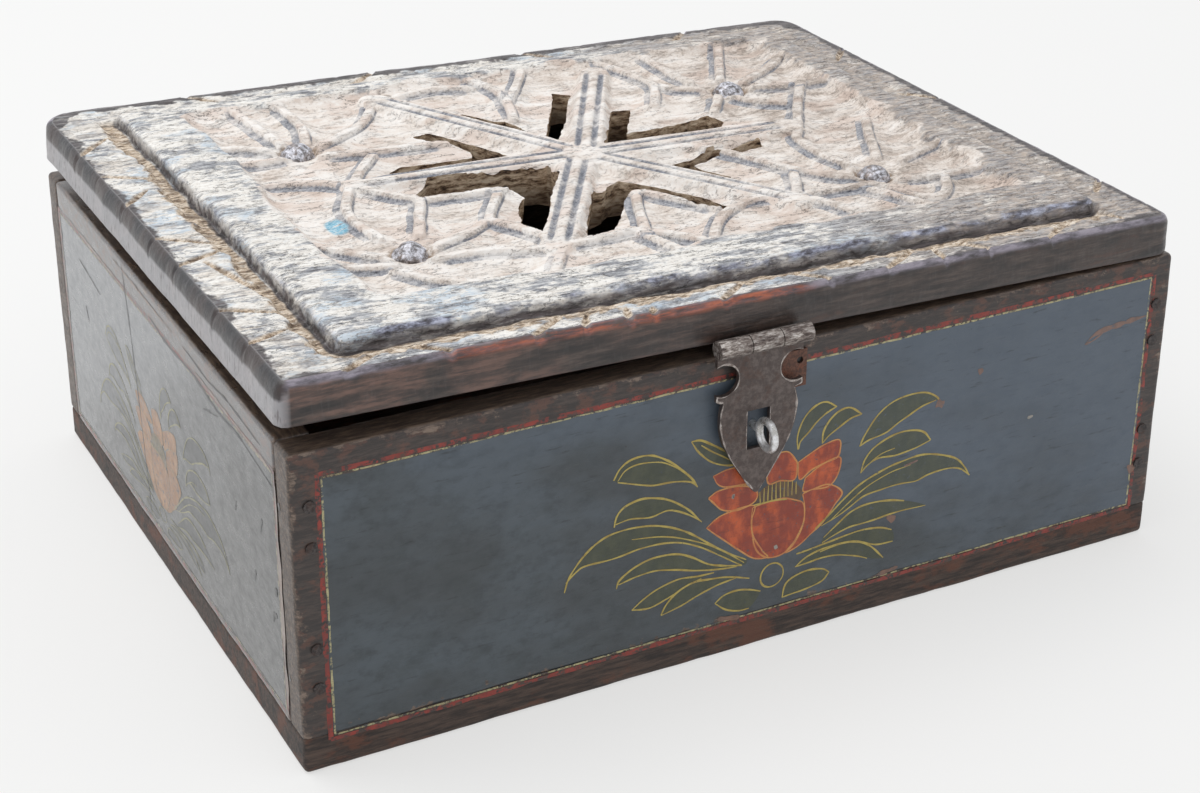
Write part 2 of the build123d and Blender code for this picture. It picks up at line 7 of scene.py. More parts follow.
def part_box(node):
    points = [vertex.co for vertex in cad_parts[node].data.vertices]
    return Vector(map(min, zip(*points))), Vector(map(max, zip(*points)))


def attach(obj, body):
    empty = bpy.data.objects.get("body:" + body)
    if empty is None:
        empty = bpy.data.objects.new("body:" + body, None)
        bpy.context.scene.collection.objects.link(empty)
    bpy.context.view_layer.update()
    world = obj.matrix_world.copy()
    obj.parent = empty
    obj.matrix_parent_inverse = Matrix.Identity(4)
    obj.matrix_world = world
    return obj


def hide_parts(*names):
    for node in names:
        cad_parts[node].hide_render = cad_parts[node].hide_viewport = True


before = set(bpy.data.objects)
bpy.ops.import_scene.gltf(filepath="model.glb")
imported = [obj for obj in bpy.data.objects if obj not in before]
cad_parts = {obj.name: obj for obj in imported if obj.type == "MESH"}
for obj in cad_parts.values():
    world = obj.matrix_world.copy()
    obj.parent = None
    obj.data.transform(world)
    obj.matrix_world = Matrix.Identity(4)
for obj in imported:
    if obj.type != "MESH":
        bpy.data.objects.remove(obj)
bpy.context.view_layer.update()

MM = 0.001

# Sizes of the box in millimetres, the same as in the CAD model
BOX_WIDTH, BOX_DEPTH, BOX_HEIGHT = 300.0, 235.0, 102.0
WALL, BOTTOM = 11.0, 12.0
FRONT, BACK = -117.5, 117.5
LID_LENGTH, LID_DEPTH = 301.4, 235.6
LID_BORDER, LID_PANEL = 13.0, 15.2
LID_TILT = math.atan(8.0 / 301.4)
LID_ORIGIN = (-1.5, -0.3, 106.3)


# Numbers and noise
def smooth(t):
    t = np.clip(t, 0.0, 1.0)
    return t * t * (3 - 2 * t)


def bell(value, middle, width):
    return np.exp(-((value - middle) / width) ** 2)


def hashed(ix, iy, iz, seed):
    """Even random numbers from 0 to 1 at whole lattice points."""
    n = (ix.astype(np.int64) * 374761393 + iy.astype(np.int64) * 668265263
         + iz.astype(np.int64) * 2147483647 + seed * 974634777)
    n = (n ^ (n >> 13)) * 1274126177
    n = n ^ (n >> 16)
    return (n & 0xFFFFFF) / float(0xFFFFFF)


def noise3(x, y, z, size, seed):
    """Smooth value noise from -1 to 1 with features of a size in millimetres."""
    x, y, z = np.broadcast_arrays(np.asarray(x, float) / size, np.asarray(y, float) / size,
                                  np.asarray(z, float) / size)
    ix, iy, iz = np.floor(x), np.floor(y), np.floor(z)
    fx, fy, fz = smooth(x - ix), smooth(y - iy), smooth(z - iz)
    total = np.zeros(x.shape)
    for dx in (0, 1):
        for dy in (0, 1):
            for dz in (0, 1):
                w = (fx if dx else 1 - fx) * (fy if dy else 1 - fy) * (fz if dz else 1 - fz)
                total += w * hashed(ix + dx, iy + dy, iz + dz, seed)
    return total * 2 - 1


def fractal(x, y, z, size, seed, octaves=3):
    total, weight, norm = 0.0, 1.0, 0.0
    for k in range(octaves):
        total = total + weight * noise3(x, y, z, size / 2 ** k, seed + 17 * k)
        norm += weight
        weight *= 0.5
    return total / norm


# Plan distances
def line_distance(px, py, points, closed=False):
    """Distance from each place to a line of points, and how far along it the nearest place lies (0 to 1)."""
    pts = np.asarray(points, float)
    if closed:
        pts = np.vstack([pts, pts[:1]])
    best = np.full(px.shape, 1e9)
    along = np.zeros(px.shape)
    lengths = np.hypot(*(pts[1:] - pts[:-1]).T)
    total, run = lengths.sum(), 0.0
    for (ax, ay), (bx, by), length in zip(pts[:-1], pts[1:], lengths):
        vx, vy = bx - ax, by - ay
        t = np.clip(((px - ax) * vx + (py - ay) * vy) / (length * length + 1e-12), 0, 1)
        d = np.hypot(px - ax - t * vx, py - ay - t * vy)
        closer = d < best
        best = np.where(closer, d, best)
        along = np.where(closer, (run + t * length) / total, along)
        run += length
    return best, along


def polygon_distance(px, py, points):
    """Signed distance to a closed outline, negative inside."""
    pts = np.asarray(points, float)
    d, _ = line_distance(px, py, pts, closed=True)
    inside = np.zeros(px.shape, bool)
    n = len(pts)
    for i in range(n):
        ax, ay = pts[i]
        bx, by = pts[(i + 1) % n]
        crosses = (ay > py) != (by > py)
        with np.errstate(divide="ignore", invalid="ignore"):
            xi = ax + (py - ay) * (bx - ax) / (by - ay if by != ay else 1e-9)
        inside ^= crosses & (px < xi)
    return np.where(inside, -d, d)


def rounded_rect(px, py, x0, x1, y0, y1, radii):
    """Signed distance to a rectangle, with radii for the front left, front right, back right, back left."""
    cx, cy = (x0 + x1) / 2, (y0 + y1) / 2
    fl, fr, br, bl = radii
    r = np.where(px < cx, np.where(py < cy, fl, bl), np.where(py < cy, fr, br))
    qx = np.abs(px - cx) - (x1 - x0) / 2 + r
    qy = np.abs(py - cy) - (y1 - y0) / 2 + r
    return np.minimum(np.maximum(qx, qy), 0) + np.hypot(np.maximum(qx, 0), np.maximum(qy, 0)) - r


def curve_through(points, steps):
    """Smooth line through given points."""
    p = [np.array(q, float) for q in points]
    if len(p) < 3:
        return np.array([p[0] + (p[-1] - p[0]) * t for t in np.linspace(0, 1, steps * 2)])
    p = [2 * p[0] - p[1]] + p + [2 * p[-1] - p[-2]]
    out = []
    for i in range(1, len(p) - 2):
        a, b, c, d = p[i - 1], p[i], p[i + 1], p[i + 2]
        for k in range(steps):
            t = k / steps
            out.append(0.5 * ((2 * b) + (c - a) * t + (2 * a - 5 * b + 4 * c - d) * t ** 2
                              + (3 * b - a - 3 * c + d) * t ** 3))
    out.append(p[-2])
    return np.array(out)


def read_line(text):
    """Points written as pairs of numbers that are parted by commas."""
    return [tuple(float(v) for v in point.split()) for point in text.split(",")]


def read_lines(text, mark=";"):
    return [read_line(part) for part in text.split(mark)]


# Meshes
def make_piece(name, points, faces, body, material, replaces=(), smooth_faces=True,
               attributes=None, normals=None, placed=None):
    """Piece from points in millimetres and faces, a list of index arrays with 3 or 4 columns."""
    points = np.asarray(points, float)
    if placed is not None:
        points = placed(points)
    mesh = bpy.data.meshes.new(name)
    faces = [np.asarray(f, np.int32) for f in faces if len(f)]
    loops = np.concatenate([f.ravel() for f in faces])
    totals = np.concatenate([np.full(len(f), f.shape[1], np.int32) for f in faces])
    starts = np.concatenate([[0], np.cumsum(totals)[:-1]]).astype(np.int32)
    mesh.vertices.add(len(points))
    mesh.vertices.foreach_set("co", (points * MM).astype(np.float32).ravel())
    mesh.loops.add(len(loops))
    mesh.loops.foreach_set("vertex_index", loops)
    mesh.polygons.add(len(totals))
    mesh.polygons.foreach_set("loop_start", starts)
    mesh.polygons.foreach_set("loop_total", totals)
    mesh.update(calc_edges=True)
    mesh.polygons.foreach_set("use_smooth", np.full(len(totals), smooth_faces))
    for key, values in (attributes or {}).items():
        attribute = mesh.attributes.new(key, "FLOAT", "POINT")
        attribute.data.foreach_set("value", np.asarray(values, np.float32))
    mesh.validate()
    if normals is not None:
        mesh.normals_split_custom_set_from_vertices(normals)
    obj = bpy.data.objects.new(name, mesh)
    bpy.context.collection.objects.link(obj)
    mesh.materials.append(material)
    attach(obj, body)
    if replaces:
        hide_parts(*replaces)


def vertex_normals(points, faces):
    """Area-weighted normals of the points."""
    total = np.zeros(points.shape)
    for f in faces:
        if not len(f):
            continue
        f = np.asarray(f)
        a, b, c = points[f[:, 0]], points[f[:, 1]], points[f[:, 2]]
        n = np.cross(b - a, c - a)
        if f.shape[1] == 4:
            n = n + np.cross(c - a, points[f[:, 3]] - a)
        for k in range(f.shape[1]):
            np.add.at(total, f[:, k], n)
    return total / np.maximum(np.linalg.norm(total, axis=1, keepdims=True), 1e-12)


def lid_place(points):
    """From the lid's own flat frame to its tipped place on the box."""
    c, s = math.cos(LID_TILT), math.sin(LID_TILT)
    x, y, z = points[:, 0], points[:, 1], points[:, 2]
    return np.stack([LID_ORIGIN[0] + x * c + z * s, LID_ORIGIN[1] + y, LID_ORIGIN[2] - x * s + z * c], 1)


def grid_quads(index):
    """Faces of a grid of point numbers."""
    return np.stack([index[:-1, :-1], index[1:, :-1], index[1:, 1:], index[:-1, 1:]], -1).reshape(-1, 4)


def tube(rows, around, start=0):
    """Faces between rows of points that each go once round."""
    i = np.arange(around)
    j = (i + 1) % around
    return [start + np.stack([r * around + i, (r + 1) * around + i, (r + 1) * around + j, r * around + j], 1)
            for r in range(rows - 1)]


def snapped_grid(x0, x1, y0, y1, step, distance):
    """Grid cut along the outline where distance is 0: its points near the outline are moved onto it."""
    nx, ny = int(round((x1 - x0) / step)) + 1, int(round((y1 - y0) / step)) + 1
    gx, gy = np.meshgrid(np.linspace(x0, x1, nx), np.linspace(y0, y1, ny), indexing="ij")
    px, py = gx.ravel().copy(), gy.ravel().copy()
    d = distance(px, py)
    near = np.abs(d) < 0.52 * step
    e = 0.02      # step over which the slope of the distance is measured
    for _ in range(3):
        qx, qy = px[near], py[near]
        dd = distance(qx, qy)
        gxx = (distance(qx + e, qy) - distance(qx - e, qy)) / (2 * e)
        gyy = (distance(qx, qy + e) - distance(qx, qy - e)) / (2 * e)
        g2 = np.maximum(gxx ** 2 + gyy ** 2, 0.25)
        px[near] = qx - dd * gxx / g2
        py[near] = qy - dd * gyy / g2
    state = np.where(near, 0, np.sign(d)).astype(int)
    index = np.arange(nx * ny).reshape(nx, ny)
    quads = grid_quads(index)
    s = state[quads]
    inside = (s <= 0).all(1)
    flat = inside & (s == 0).all(1)
    if flat.any():
        mx, my = px[quads[flat]].mean(1), py[quads[flat]].mean(1)
        inside[np.where(flat)[0][distance(mx, my) > 0]] = False
    keep_quads = quads[inside]
    triangles = []
    mixed = quads[((s > 0).any(1)) & ((s < 0).any(1))]
    sm = state[mixed]
    for k in range(4):
        after, across, before = (k + 1) % 4, (k + 2) % 4, (k + 3) % 4
        pick = (sm[:, k] < 0) & (sm[:, after] == 0) & (sm[:, before] == 0) & (sm[:, across] > 0)
        triangles.append(mixed[pick][:, [k, after, before]])
    return px, py, keep_quads, np.concatenate(triangles)


def rim_edges(faces):
    """Directed edges that belong to one face only, in the direction in which that face runs."""
    edges = np.concatenate([np.stack([f[:, k], f[:, (k + 1) % f.shape[1]]], 1) for f in faces if len(f)
                            for k in range(f.shape[1])])
    keys = {tuple(e) for e in edges.tolist()}
    return [e for e in keys if (e[1], e[0]) not in keys]


def rim_loops(edges):
    """Closed rings of point numbers from directed edges."""
    following = {}
    for a, b in edges:
        following.setdefault(a, []).append(b)
    rings = []
    while following:
        start = next(iter(following))
        ring, at = [start], start
        while True:
            options = following.get(at)
            if not options:
                break
            nxt = options.pop()
            if not options:
                del following[at]
            if nxt == start:
                break
            ring.append(nxt)
            at = nxt
        rings.append(ring)
    return rings


# Materials
def linear(r, g, b):
    """Colour written as it looks on a screen, 0 to 255, as the linear colour that a shader wants."""
    parts = [v / 255.0 for v in (r, g, b)]
    return (*[v / 12.92 if v <= 0.04045 else ((v + 0.055) / 1.055) ** 2.4 for v in parts], 1.0)


class Value:
    """Output of a node; numbers can be added, subtracted and multiplied."""

    def __init__(self, tree, socket):
        self.tree, self.socket = tree, socket

    def __add__(self, other):
        return self.tree.math("ADD", self, other)

    def __sub__(self, other):
        return self.tree.math("SUBTRACT", self, other)

    def __rsub__(self, other):
        return self.tree.math("SUBTRACT", other, self)

    def __mul__(self, other):
        return self.tree.math("MULTIPLY", self, other)


class Tree:
    """Node tree of a material or world, emptied and built up again."""

    def __init__(self, owner):
        owner.use_nodes = True
        self.tree = owner.node_tree
        self.tree.nodes.clear()

    def put(self, value, socket):
        if isinstance(value, Value):
            self.tree.links.new(value.socket, socket)
        elif socket.type == "RGBA" and len(value) == 3:
            socket.default_value = linear(*value)
        else:
            socket.default_value = value

    def made(self, kind, inputs=(), output=0, **settings):
        """One of the outputs of a new node, whose inputs are given by name or in a row."""
        node = self.tree.nodes.new(kind)
        for key, value in settings.items():
            setattr(node, key, value)
        for key, value in inputs.items() if isinstance(inputs, dict) else enumerate(inputs):
            self.put(value, node.inputs[key])
        return Value(self, node.outputs[output] if len(node.outputs) else None)

    def math(self, operation, *values, **settings):
        return self.made("ShaderNodeMath", values, operation=operation, **settings)


class Look(Tree):
    """One procedural material, with lengths in millimetres of the object's own frame."""

    def __init__(self, name, roughness=0.6, specular=0.5, metallic=0.0, coat=(0.0, 0.03)):
        self.material = bpy.data.materials.new(name)
        super().__init__(self.material)
        shader = self.made("ShaderNodeBsdfPrincipled", {
            "Roughness": roughness, "Specular IOR Level": specular, "Metallic": metallic,
            "Coat Weight": coat[0], "Coat Roughness": coat[1]})
        self.inputs = shader.socket.node.inputs
        self.tree.links.new(shader.socket, self.tree.nodes.new("ShaderNodeOutputMaterial").inputs[0])
        place = self.made("ShaderNodeTexCoord", output="Object")
        self.mm = self.made("ShaderNodeVectorMath", {0: place, "Scale": 1000.0}, operation="SCALE")

    def axes(self):
        return [Value(self, out)
                for out in self.made("ShaderNodeSeparateXYZ", (self.mm,)).socket.node.outputs]

    def noise(self, size, detail=4.0, roughness=0.6, stretch=(1, 1, 1), shift=0.0):
        """Noise from 0 to 1 with features of a size in millimetres, drawn out along an axis by a stretch."""
        place = self.made("ShaderNodeVectorMath", (self.mm, [1 / s for s in stretch]), operation="MULTIPLY")
        if shift:
            place = self.made("ShaderNodeVectorMath", (place, (shift, shift * 0.7, shift * 1.3)),
                              operation="ADD")
        return self.made("ShaderNodeTexNoise", {"Vector": place, "Scale": 1.0 / size, "Detail": detail,
                                                "Roughness": roughness}, "Fac")

    def scaled(self, value, low, high, to_low, to_high, kind="LINEAR"):
        limits = {"Value": value, "From Min": low, "From Max": high, "To Min": to_low, "To Max": to_high}
        return self.made("ShaderNodeMapRange", limits, "Result", interpolation_type=kind)

    def step(self, value, low, high):
        """0 below low, 1 above high, smooth between; low may be the larger one."""
        falls = float(low > high)
        return self.scaled(value, min(low, high), max(low, high), falls, 1.0 - falls, "SMOOTHSTEP")

    def mix(self, a, b, share):
        return self.made("ShaderNodeMix", {0: share, 6: a, 7: b}, 2, data_type="RGBA")

    def mix_value(self, a, b, share):
        return self.made("ShaderNodeMix", {0: share, 2: a, 3: b}, data_type="FLOAT")

    def ramp(self, value, *stops):
        """Colour from a value, through stops of place and screen colour."""
        result = self.made("ShaderNodeValToRGB", (value,))
        elements = result.socket.node.color_ramp.elements
        while len(elements) < len(stops):
            elements.new(0.5)
        for element, (place, color) in zip(elements, stops):
            element.position = place
        for element, (place, color) in zip(elements, stops):
            element.color = linear(*color)
        return result

    def held(self, name):
        return self.made("ShaderNodeAttribute", output="Fac", attribute_name=name)

    def either(self, a, b):
        return self.math("MAXIMUM", a, b)

    def bump(self, height, depth):
        """Surface relief: height from 0 to 1 stands for a depth in millimetres."""
        return self.made("ShaderNodeBump", {"Strength": 1.0, "Distance": depth * MM, "Height": height})

    def finish(self, color, roughness, normal):
        for name, value in (("Base Color", color), ("Roughness", roughness), ("Normal", normal)):
            if value is not None:
                self.put(value, self.inputs[name])
        return self.material


def lid_look():
    """Whitewashed, weathered carving: cream hollows, grey-blue beside ridges, patchy wash on flat parts,
    painted sheen on the panel's edge and painted shade at its foot.
    """
    k = Look("worn_whitewash", 0.6, 0.4)
    raw, cutout, line, dark, sheen, grey, dirt, blue, weather = (
        k.held(n) for n in ("raw", "cut", "line", "dark", "sheen", "grey", "dirt", "blue", "weather"))
    fine = k.noise(0.8, 4, 0.7, (1.6, 1, 1))
    grain = k.noise(1.3, 4, 0.65, (7, 1, 1), 3)
    streak = k.noise(2.7, 5, 0.68, (4, 1, 1), 7)
    patch = k.noise(8.0, 5, 0.64, (1.7, 1, 1), 41)
    region = k.noise(17, 3, 0.55, (1.5, 1, 1), 83)
    crack = k.noise(5.0, 5, 0.66, (4, 1, 1), 19)
    split = 1 - k.step(k.math("ABSOLUTE", crack - 0.5), 0.002, 0.010)
    speck = k.step(k.noise(0.75, 2, 0.5, (1.5, 1, 1), 29), 0.66, 0.72)
    # hollows
    tone = patch * 0.55 + k.math("MULTIPLY_ADD", fine, 0.30, streak * 0.15)
    tone = k.math("MULTIPLY_ADD", weather, 0.10, tone)
    cream = k.ramp(tone, (0.42, (250, 245, 239)), (0.51, (240, 231, 222)), (0.57, (222, 210, 199)),
                   (0.63, (190, 176, 164)), (0.71, (140, 126, 115)))
    cream = k.mix(cream, (224, 202, 188), k.step(region * 0.6 + patch * 0.4, 0.50, 0.58) * 0.45)
    cream = k.mix(cream, (104, 92, 86), split * k.scaled(region, 0.44, 0.60, 0.25, 0.85))
    cream = k.mix(cream, (112, 98, 90), speck * 0.55)
    stain = (k.step(grey + k.math("MULTIPLY_ADD", fine, 0.5, -0.25), 0.30, 0.62)
             * k.scaled(patch, 0.40, 0.54, 0.25, 0.95))
    cream = k.mix(cream, k.ramp(fine, (0.38, (190, 190, 194)), (0.50, (158, 160, 166)),
                                (0.60, (124, 126, 134)), (0.68, (92, 92, 100))), stain)
    cream = k.mix(cream, (158, 132, 106), dirt * k.step(k.noise(2.2, 4, 0.7, shift=71), 0.40, 0.56))
    # washed flat parts
    pale = k.ramp(fine * 0.55 + grain * 0.45, (0.40, (252, 249, 243)), (0.51, (241, 236, 228)),
                  (0.59, (222, 215, 206)), (0.68, (182, 174, 164)))
    bare = k.ramp(grain * 0.65 + fine * 0.35, (0.38, (206, 206, 206)), (0.48, (170, 171, 174)),
                  (0.56, (132, 133, 138)), (0.64, (92, 90, 92)))
    flake = k.noise(1.9, 5, 0.74, (2.4, 1, 1), 53)
    share = patch * 0.45 + k.math("MULTIPLY_ADD", flake, 0.35, streak * 0.2)
    share = k.math("MULTIPLY_ADD", weather, 0.10, share)
    wash = k.mix(pale, bare, k.step(share, 0.485, 0.56))
    sky = k.step(region, 0.46, 0.37) * k.step(flake, 0.56, 0.46) * k.step(weather, 0.75, 0.35)
    wash = k.mix(wash, (184, 203, 219), sky * 0.65)
    old = k.ramp(k.noise(2.6, 5, 0.72, (2.6, 1, 1), 97), (0.40, (214, 196, 178)), (0.52, (178, 160, 144)),
                 (0.62, (104, 92, 84)))
    wash = k.mix(wash, old, k.step(weather, 0.15, 0.85) * k.scaled(flake, 0.40, 0.60, 0.25, 0.75))
    wash = k.mix(wash, (84, 78, 74), split * k.scaled(region, 0.40, 0.60, 0.45, 0.95))
    wash = k.mix(wash, (96, 88, 82), speck * 0.65)
    base = k.mix(wash, cream, raw)
    groove = k.ramp(fine, (0.38, (150, 153, 162)), (0.62, (92, 94, 104)))
    base = k.mix(base, groove, line * k.scaled(patch, 0.40, 0.58, 0.35, 0.9))
    # raw gouges and the groove round the panel
    rough = k.noise(1.3, 6, 0.78, (3.2, 1, 1), 23)
    tan = k.ramp(rough, (0.40, (248, 236, 220)), (0.48, (222, 202, 178)), (0.54, (172, 148, 122)),
                 (0.61, (84, 70, 58)))
    tan = k.mix(tan, (92, 72, 56), k.step(k.noise(5.5, 5, 0.7, shift=77), 0.50, 0.62) * 0.6)
    base = k.mix(base, tan, cutout)
    turquoise = k.mix((122, 184, 208), (196, 220, 230), k.step(fine, 0.45, 0.62))
    base = k.mix(base, turquoise, blue * k.step(streak, 0.66, 0.56))
    # painted sheen: reflection colours on the panel's worn edge, from pale blue-grey to dark
    arris_sheen = k.ramp(k.noise(1.5, 5, 0.7, (4, 4, 1), 61), (0.38, (190, 194, 212)), (0.48, (132, 134, 150)),
                    (0.56, (84, 82, 92)), (0.66, (48, 44, 46)))
    base = k.mix(base, arris_sheen, sheen * k.step(k.noise(7, 4, 0.65, (3, 3, 1), 65), 0.36, 0.52))
    # dark brown where the wash is worn off the lid's edge, and painted shade in the crevice at the panel's
    # foot
    brown = k.ramp(k.noise(2.0, 5, 0.7, (9, 1, 1), 13), (0.40, (48, 43, 43)), (0.60, (96, 88, 88)))
    base = k.mix(base, brown, dark * k.scaled(streak, 0.40, 0.50, 0.75, 1.0))
    height = grain * 0.5 + fine * 0.5 - k.either(split, speck) * 0.45
    height = height + rough * (cutout * 1.4)
    shine = k.mix_value(k.mix_value(k.scaled(fine, 0.3, 0.7, 0.5, 0.72), 0.42, dark), 0.30, sheen)
    return k.finish(base, shine, k.bump(height, 0.30))


def lid_edge_look():
    """Dark worn rim of the lid: red-brown rubbed along the front's upper edge, painted sheen on the rounded
    edge elsewhere.
    """
    k = Look("worn_lid_edge", 0.5, coat=(0.25, 0.28))
    rub, arris, side = k.held("rub"), k.held("arris"), k.held("side")
    grain = k.noise(1.6, 5, 0.7, (9, 1, 1))
    broad = k.noise(14, 4, 0.6, (2, 1, 1), 4)
    saw = k.noise(1.0, 3, 0.6, (1, 1, 5), 33)
    base = k.ramp(grain, (0.34, (80, 67, 60)), (0.46, (60, 49, 44)), (0.56, (43, 35, 32)),
                  (0.68, (28, 24, 23)))
    base = k.mix(base, (84, 60, 50), k.step(broad, 0.52, 0.64) * k.step(grain, 0.46, 0.58) * 0.7)
    warm = k.scaled(k.axes()[0], -120, 10, 1, 0) * k.step(broad, 0.40, 0.56)
    base = k.mix(base, k.mix((134, 98, 84), (92, 72, 64), k.step(grain, 0.42, 0.58)), warm * 0.65)
    # left side face: its weathered grey, painted lighter also for the reflection it catches at a glancing
    # angle
    base = k.mix(base, (172, 170, 172), side * 0.8)
    base = k.mix(base, (112, 106, 106), k.step(saw, 0.54, 0.66) * k.scaled(side, 0, 1, 0.08, 0.8))
    red = k.ramp(k.noise(1.3, 5, 0.7, (7, 1, 1), 9), (0.40, (182, 90, 44)), (0.50, (136, 66, 38)),
                 (0.60, (78, 44, 34)))
    base = k.mix(base, red, rub * k.step(k.noise(5.5, 5, 0.7, (3.5, 1, 1), 21), 0.40, 0.52))
    # painted sheen: reflection colours on the rounded edge; on the left side the edge is dark brown instead
    arris_sheen = k.ramp(k.noise(2.2, 5, 0.7, (5, 5, 1), 2), (0.40, (150, 142, 152)), (0.54, (104, 98, 106)),
                    (0.64, (58, 52, 54)))
    arris_sheen = k.mix(arris_sheen, k.ramp(broad, (0.42, (30, 27, 30)), (0.58, (52, 38, 34))), side)
    base = k.mix(base, arris_sheen, arris * (1 - rub * 0.85))
    normal = k.bump(grain * 0.8 + k.noise(5, 3, 0.5, shift=8) * 1.2, 0.35)
    return k.finish(base, k.scaled(grain, 0.3, 0.7, 0.30, 0.50), normal)


def slot_look():
    """Hand-cut walls of the slots, with painted shade that makes them darker towards the underside."""
    k = Look("slot_walls", 0.75, 0.3)
    grain = k.noise(1.9, 6, 0.74, (3.4, 2.4, 1))
    base = k.ramp(grain, (0.38, (242, 224, 200)), (0.48, (208, 184, 156)), (0.55, (146, 120, 96)),
                  (0.62, (66, 52, 44)))
    # painted shade: the walls darken with depth, where less light reaches
    base = k.mix(base, (96, 78, 64), k.step(k.held("depth"), 0.35, 1.0) * 0.7)
    return k.finish(base, None, k.bump(grain, 0.9))


def raw_wood_look(name, pale, deep, roughness, stain=None):
    k = Look(name, roughness, 0.35)
    along = (10, 1, 1)
    grain = k.noise(1.4, 6, 0.72, along)
    rings = k.noise(9, 4, 0.6, along, 6)
    base = k.mix(deep, pale, k.step(grain, 0.36, 0.66))
    base = k.mix(base, [c * 0.8 for c in deep], k.step(rings, 0.54, 0.7))
    if stain:
        base = k.mix(base, stain, k.step(k.noise(9, 5, 0.65, (2, 1, 1), 31), 0.50, 0.62) * 0.75)
    return k.finish(base, None, k.bump(grain, 0.35))


def iron_look(name, dark, light, rust, roughness=(0.35, 0.65), rust_share=0.5, metallic=0.55, size=1.0,
              scraped_and_highlit_above=None):
    """Old hand-forged iron with pits and thin rust, scraped bright above a height, which also stands as a
    painted highlight.
    """
    k = Look(name, 0.5, 0.5, metallic)
    pits = k.noise(size, 6, 0.72)
    broad = k.noise(5.5, 4, 0.6, shift=12)
    base = k.mix(dark, light, k.step(pits, 0.38, 0.66))
    base = k.mix(base, [c * 0.8 for c in dark], k.step(broad, 0.52, 0.66) * 0.5)
    rusty = k.step(broad, 0.44, 0.62) * k.step(k.noise(1.6, 5, 0.7, shift=19), 0.40, 0.60)
    base = k.mix(base, rust, rusty * rust_share)
    if scraped_and_highlit_above is not None:
        # above the height: scraped metal, painted bright also as the barrel's highlight
        scrape_and_highlight = k.ramp(k.noise(0.9, 5, 0.75, (4, 1, 1), 27), (0.36, (226, 220, 214)),
                        (0.47, (168, 158, 150)), (0.54, (112, 100, 94)), (0.62, (52, 44, 42)))
        high = k.step(k.axes()[2], scraped_and_highlit_above - 0.6, scraped_and_highlit_above + 0.4)
        base = k.mix(base, scrape_and_highlight, high * k.scaled(broad, 0.36, 0.60, 1.0, 0.45))
    normal = k.bump(pits + k.noise(3.2, 3, 0.5, shift=3) * 0.9, 0.22)
    return k.finish(base, k.scaled(pits, 0.3, 0.7, *roughness), normal)


# Painted boards
COAT, LEFT_COAT, COAT_ROUGHNESS = 0.15, 0.68, 0.22      # varnish; the left side shines most


def slate_paint(k, across, limits, slate, slate_light, slope, fade, drift, seed):
    """Colour, grain, weave and relief of a painted face: a slate panel in brown; towards the far end and top
    it is bluer, and on the left side lighter as painted sheen.
    """
    low_u, high_u, low_v, high_v = limits
    x, y, z = k.axes()
    u = x if across == "x" else y
    along = (7, 1, 1) if across == "x" else (1, 7, 1)
    wobble = k.math("MULTIPLY_ADD", k.noise(14, 3, 0.5, shift=seed + 1), 1.6, -0.8)
    u_near = u + wobble
    v_near = z - u * slope + wobble
    du = k.either(low_u - u_near, u_near - high_u)
    dv = k.either(low_v - v_near, v_near - high_v)
    border = k.step(k.either(du, dv), -0.3, 0.3)
    grain = k.noise(1.0, 6, 0.72, along, seed)
    broad = k.noise(26, 4, 0.6, (2, 2, 1), seed + 5)
    weave = k.noise(3.4, 4, 0.65, (1.6, 1.6, 1), seed + 9)
    paint = k.mix(slate, slate_light, k.step(broad, 0.36, 0.66))
    paint = k.mix(paint, [c * 0.86 for c in slate], k.step(weave, 0.46, 0.72) * 0.5)
    mottle = k.noise(9, 5, 0.7, (1.3, 1.3, 1), seed + 11)
    paint = k.mix(paint, (52, 59, 60), k.step(mottle, 0.48, 0.66) * (0.40 if fade < 0.5 else 0.1))
    # lighter towards the far end and the top: painted sheen on the left side, where it catches a glancing
    # reflection; bluer slate on the other faces
    far = k.scaled(u, low_u, high_u, -0.25, 0.75) + k.scaled(z, low_v, high_v, -0.15, 0.45)
    far = k.step(k.math("MULTIPLY_ADD", broad, 0.9, far - 0.45), 0.15, 0.85)
    paint = k.mix(paint, (88, 99, 112) if fade < 0.5 else (118, 120, 123), far * drift)
    paint = k.mix(paint, (92, 94, 94), k.step(grain, 0.58, 0.74) * 0.3)
    paint = k.mix(paint, (40, 44, 46), k.step(k.noise(1.6, 5, 0.7, along, seed + 3), 0.58, 0.70) * 0.55)
    brown = k.mix((46, 39, 36), (74, 62, 56), k.step(grain, 0.42, 0.66))
    brown = k.mix(brown, (104, 70, 56), k.step(weave, 0.50, 0.64) * 0.6)
    brown = k.mix(brown, (30, 27, 26), k.step(k.noise(2.4, 5, 0.75, along, seed + 7), 0.56, 0.68) * 0.7)
    if fade:
        brown = k.mix(brown, k.mix((104, 100, 99), (128, 112, 106), k.step(weave, 0.48, 0.62)), fade * 0.75)
    relief = grain * 0.55 + weave * 0.5 + broad * 0.6
    return k.mix(paint, brown, border), grain, weave, relief


def painted_look(name, *face, rough=0.46, coat=COAT):
    """Painted board, rubbed along its edges, with bare wood on the faces that don't show outside."""
    k = Look(name, 0.45, coat=(coat, COAT_ROUGHNESS))
    base, grain, weave, relief = slate_paint(k, *face)
    seed = face[-1]
    wear = k.held("wear")
    edge_noise = k.noise(4, 5, 0.7, (1.6, 1.6, 1.6), seed + 14) + wear * 0.30
    rubbed = k.step(edge_noise, 0.76, 0.84)
    base = k.mix(base, k.mix((74, 60, 52), (128, 110, 96), k.step(grain, 0.42, 0.62)), rubbed)
    plain = k.mix((66, 56, 50), (116, 98, 84), k.step(grain, 0.40, 0.66))
    base = k.mix(base, plain, 1 - k.held("outer"))
    dents = k.step(k.noise(2.2, 4, 0.7, shift=seed + 20), 0.66, 0.74)
    base = k.mix(base, (48, 42, 40), dents * 0.6)
    return k.finish(base, k.scaled(weave, 0.3, 0.7, rough - 0.1, rough + 0.12), k.bump(relief, 0.30))


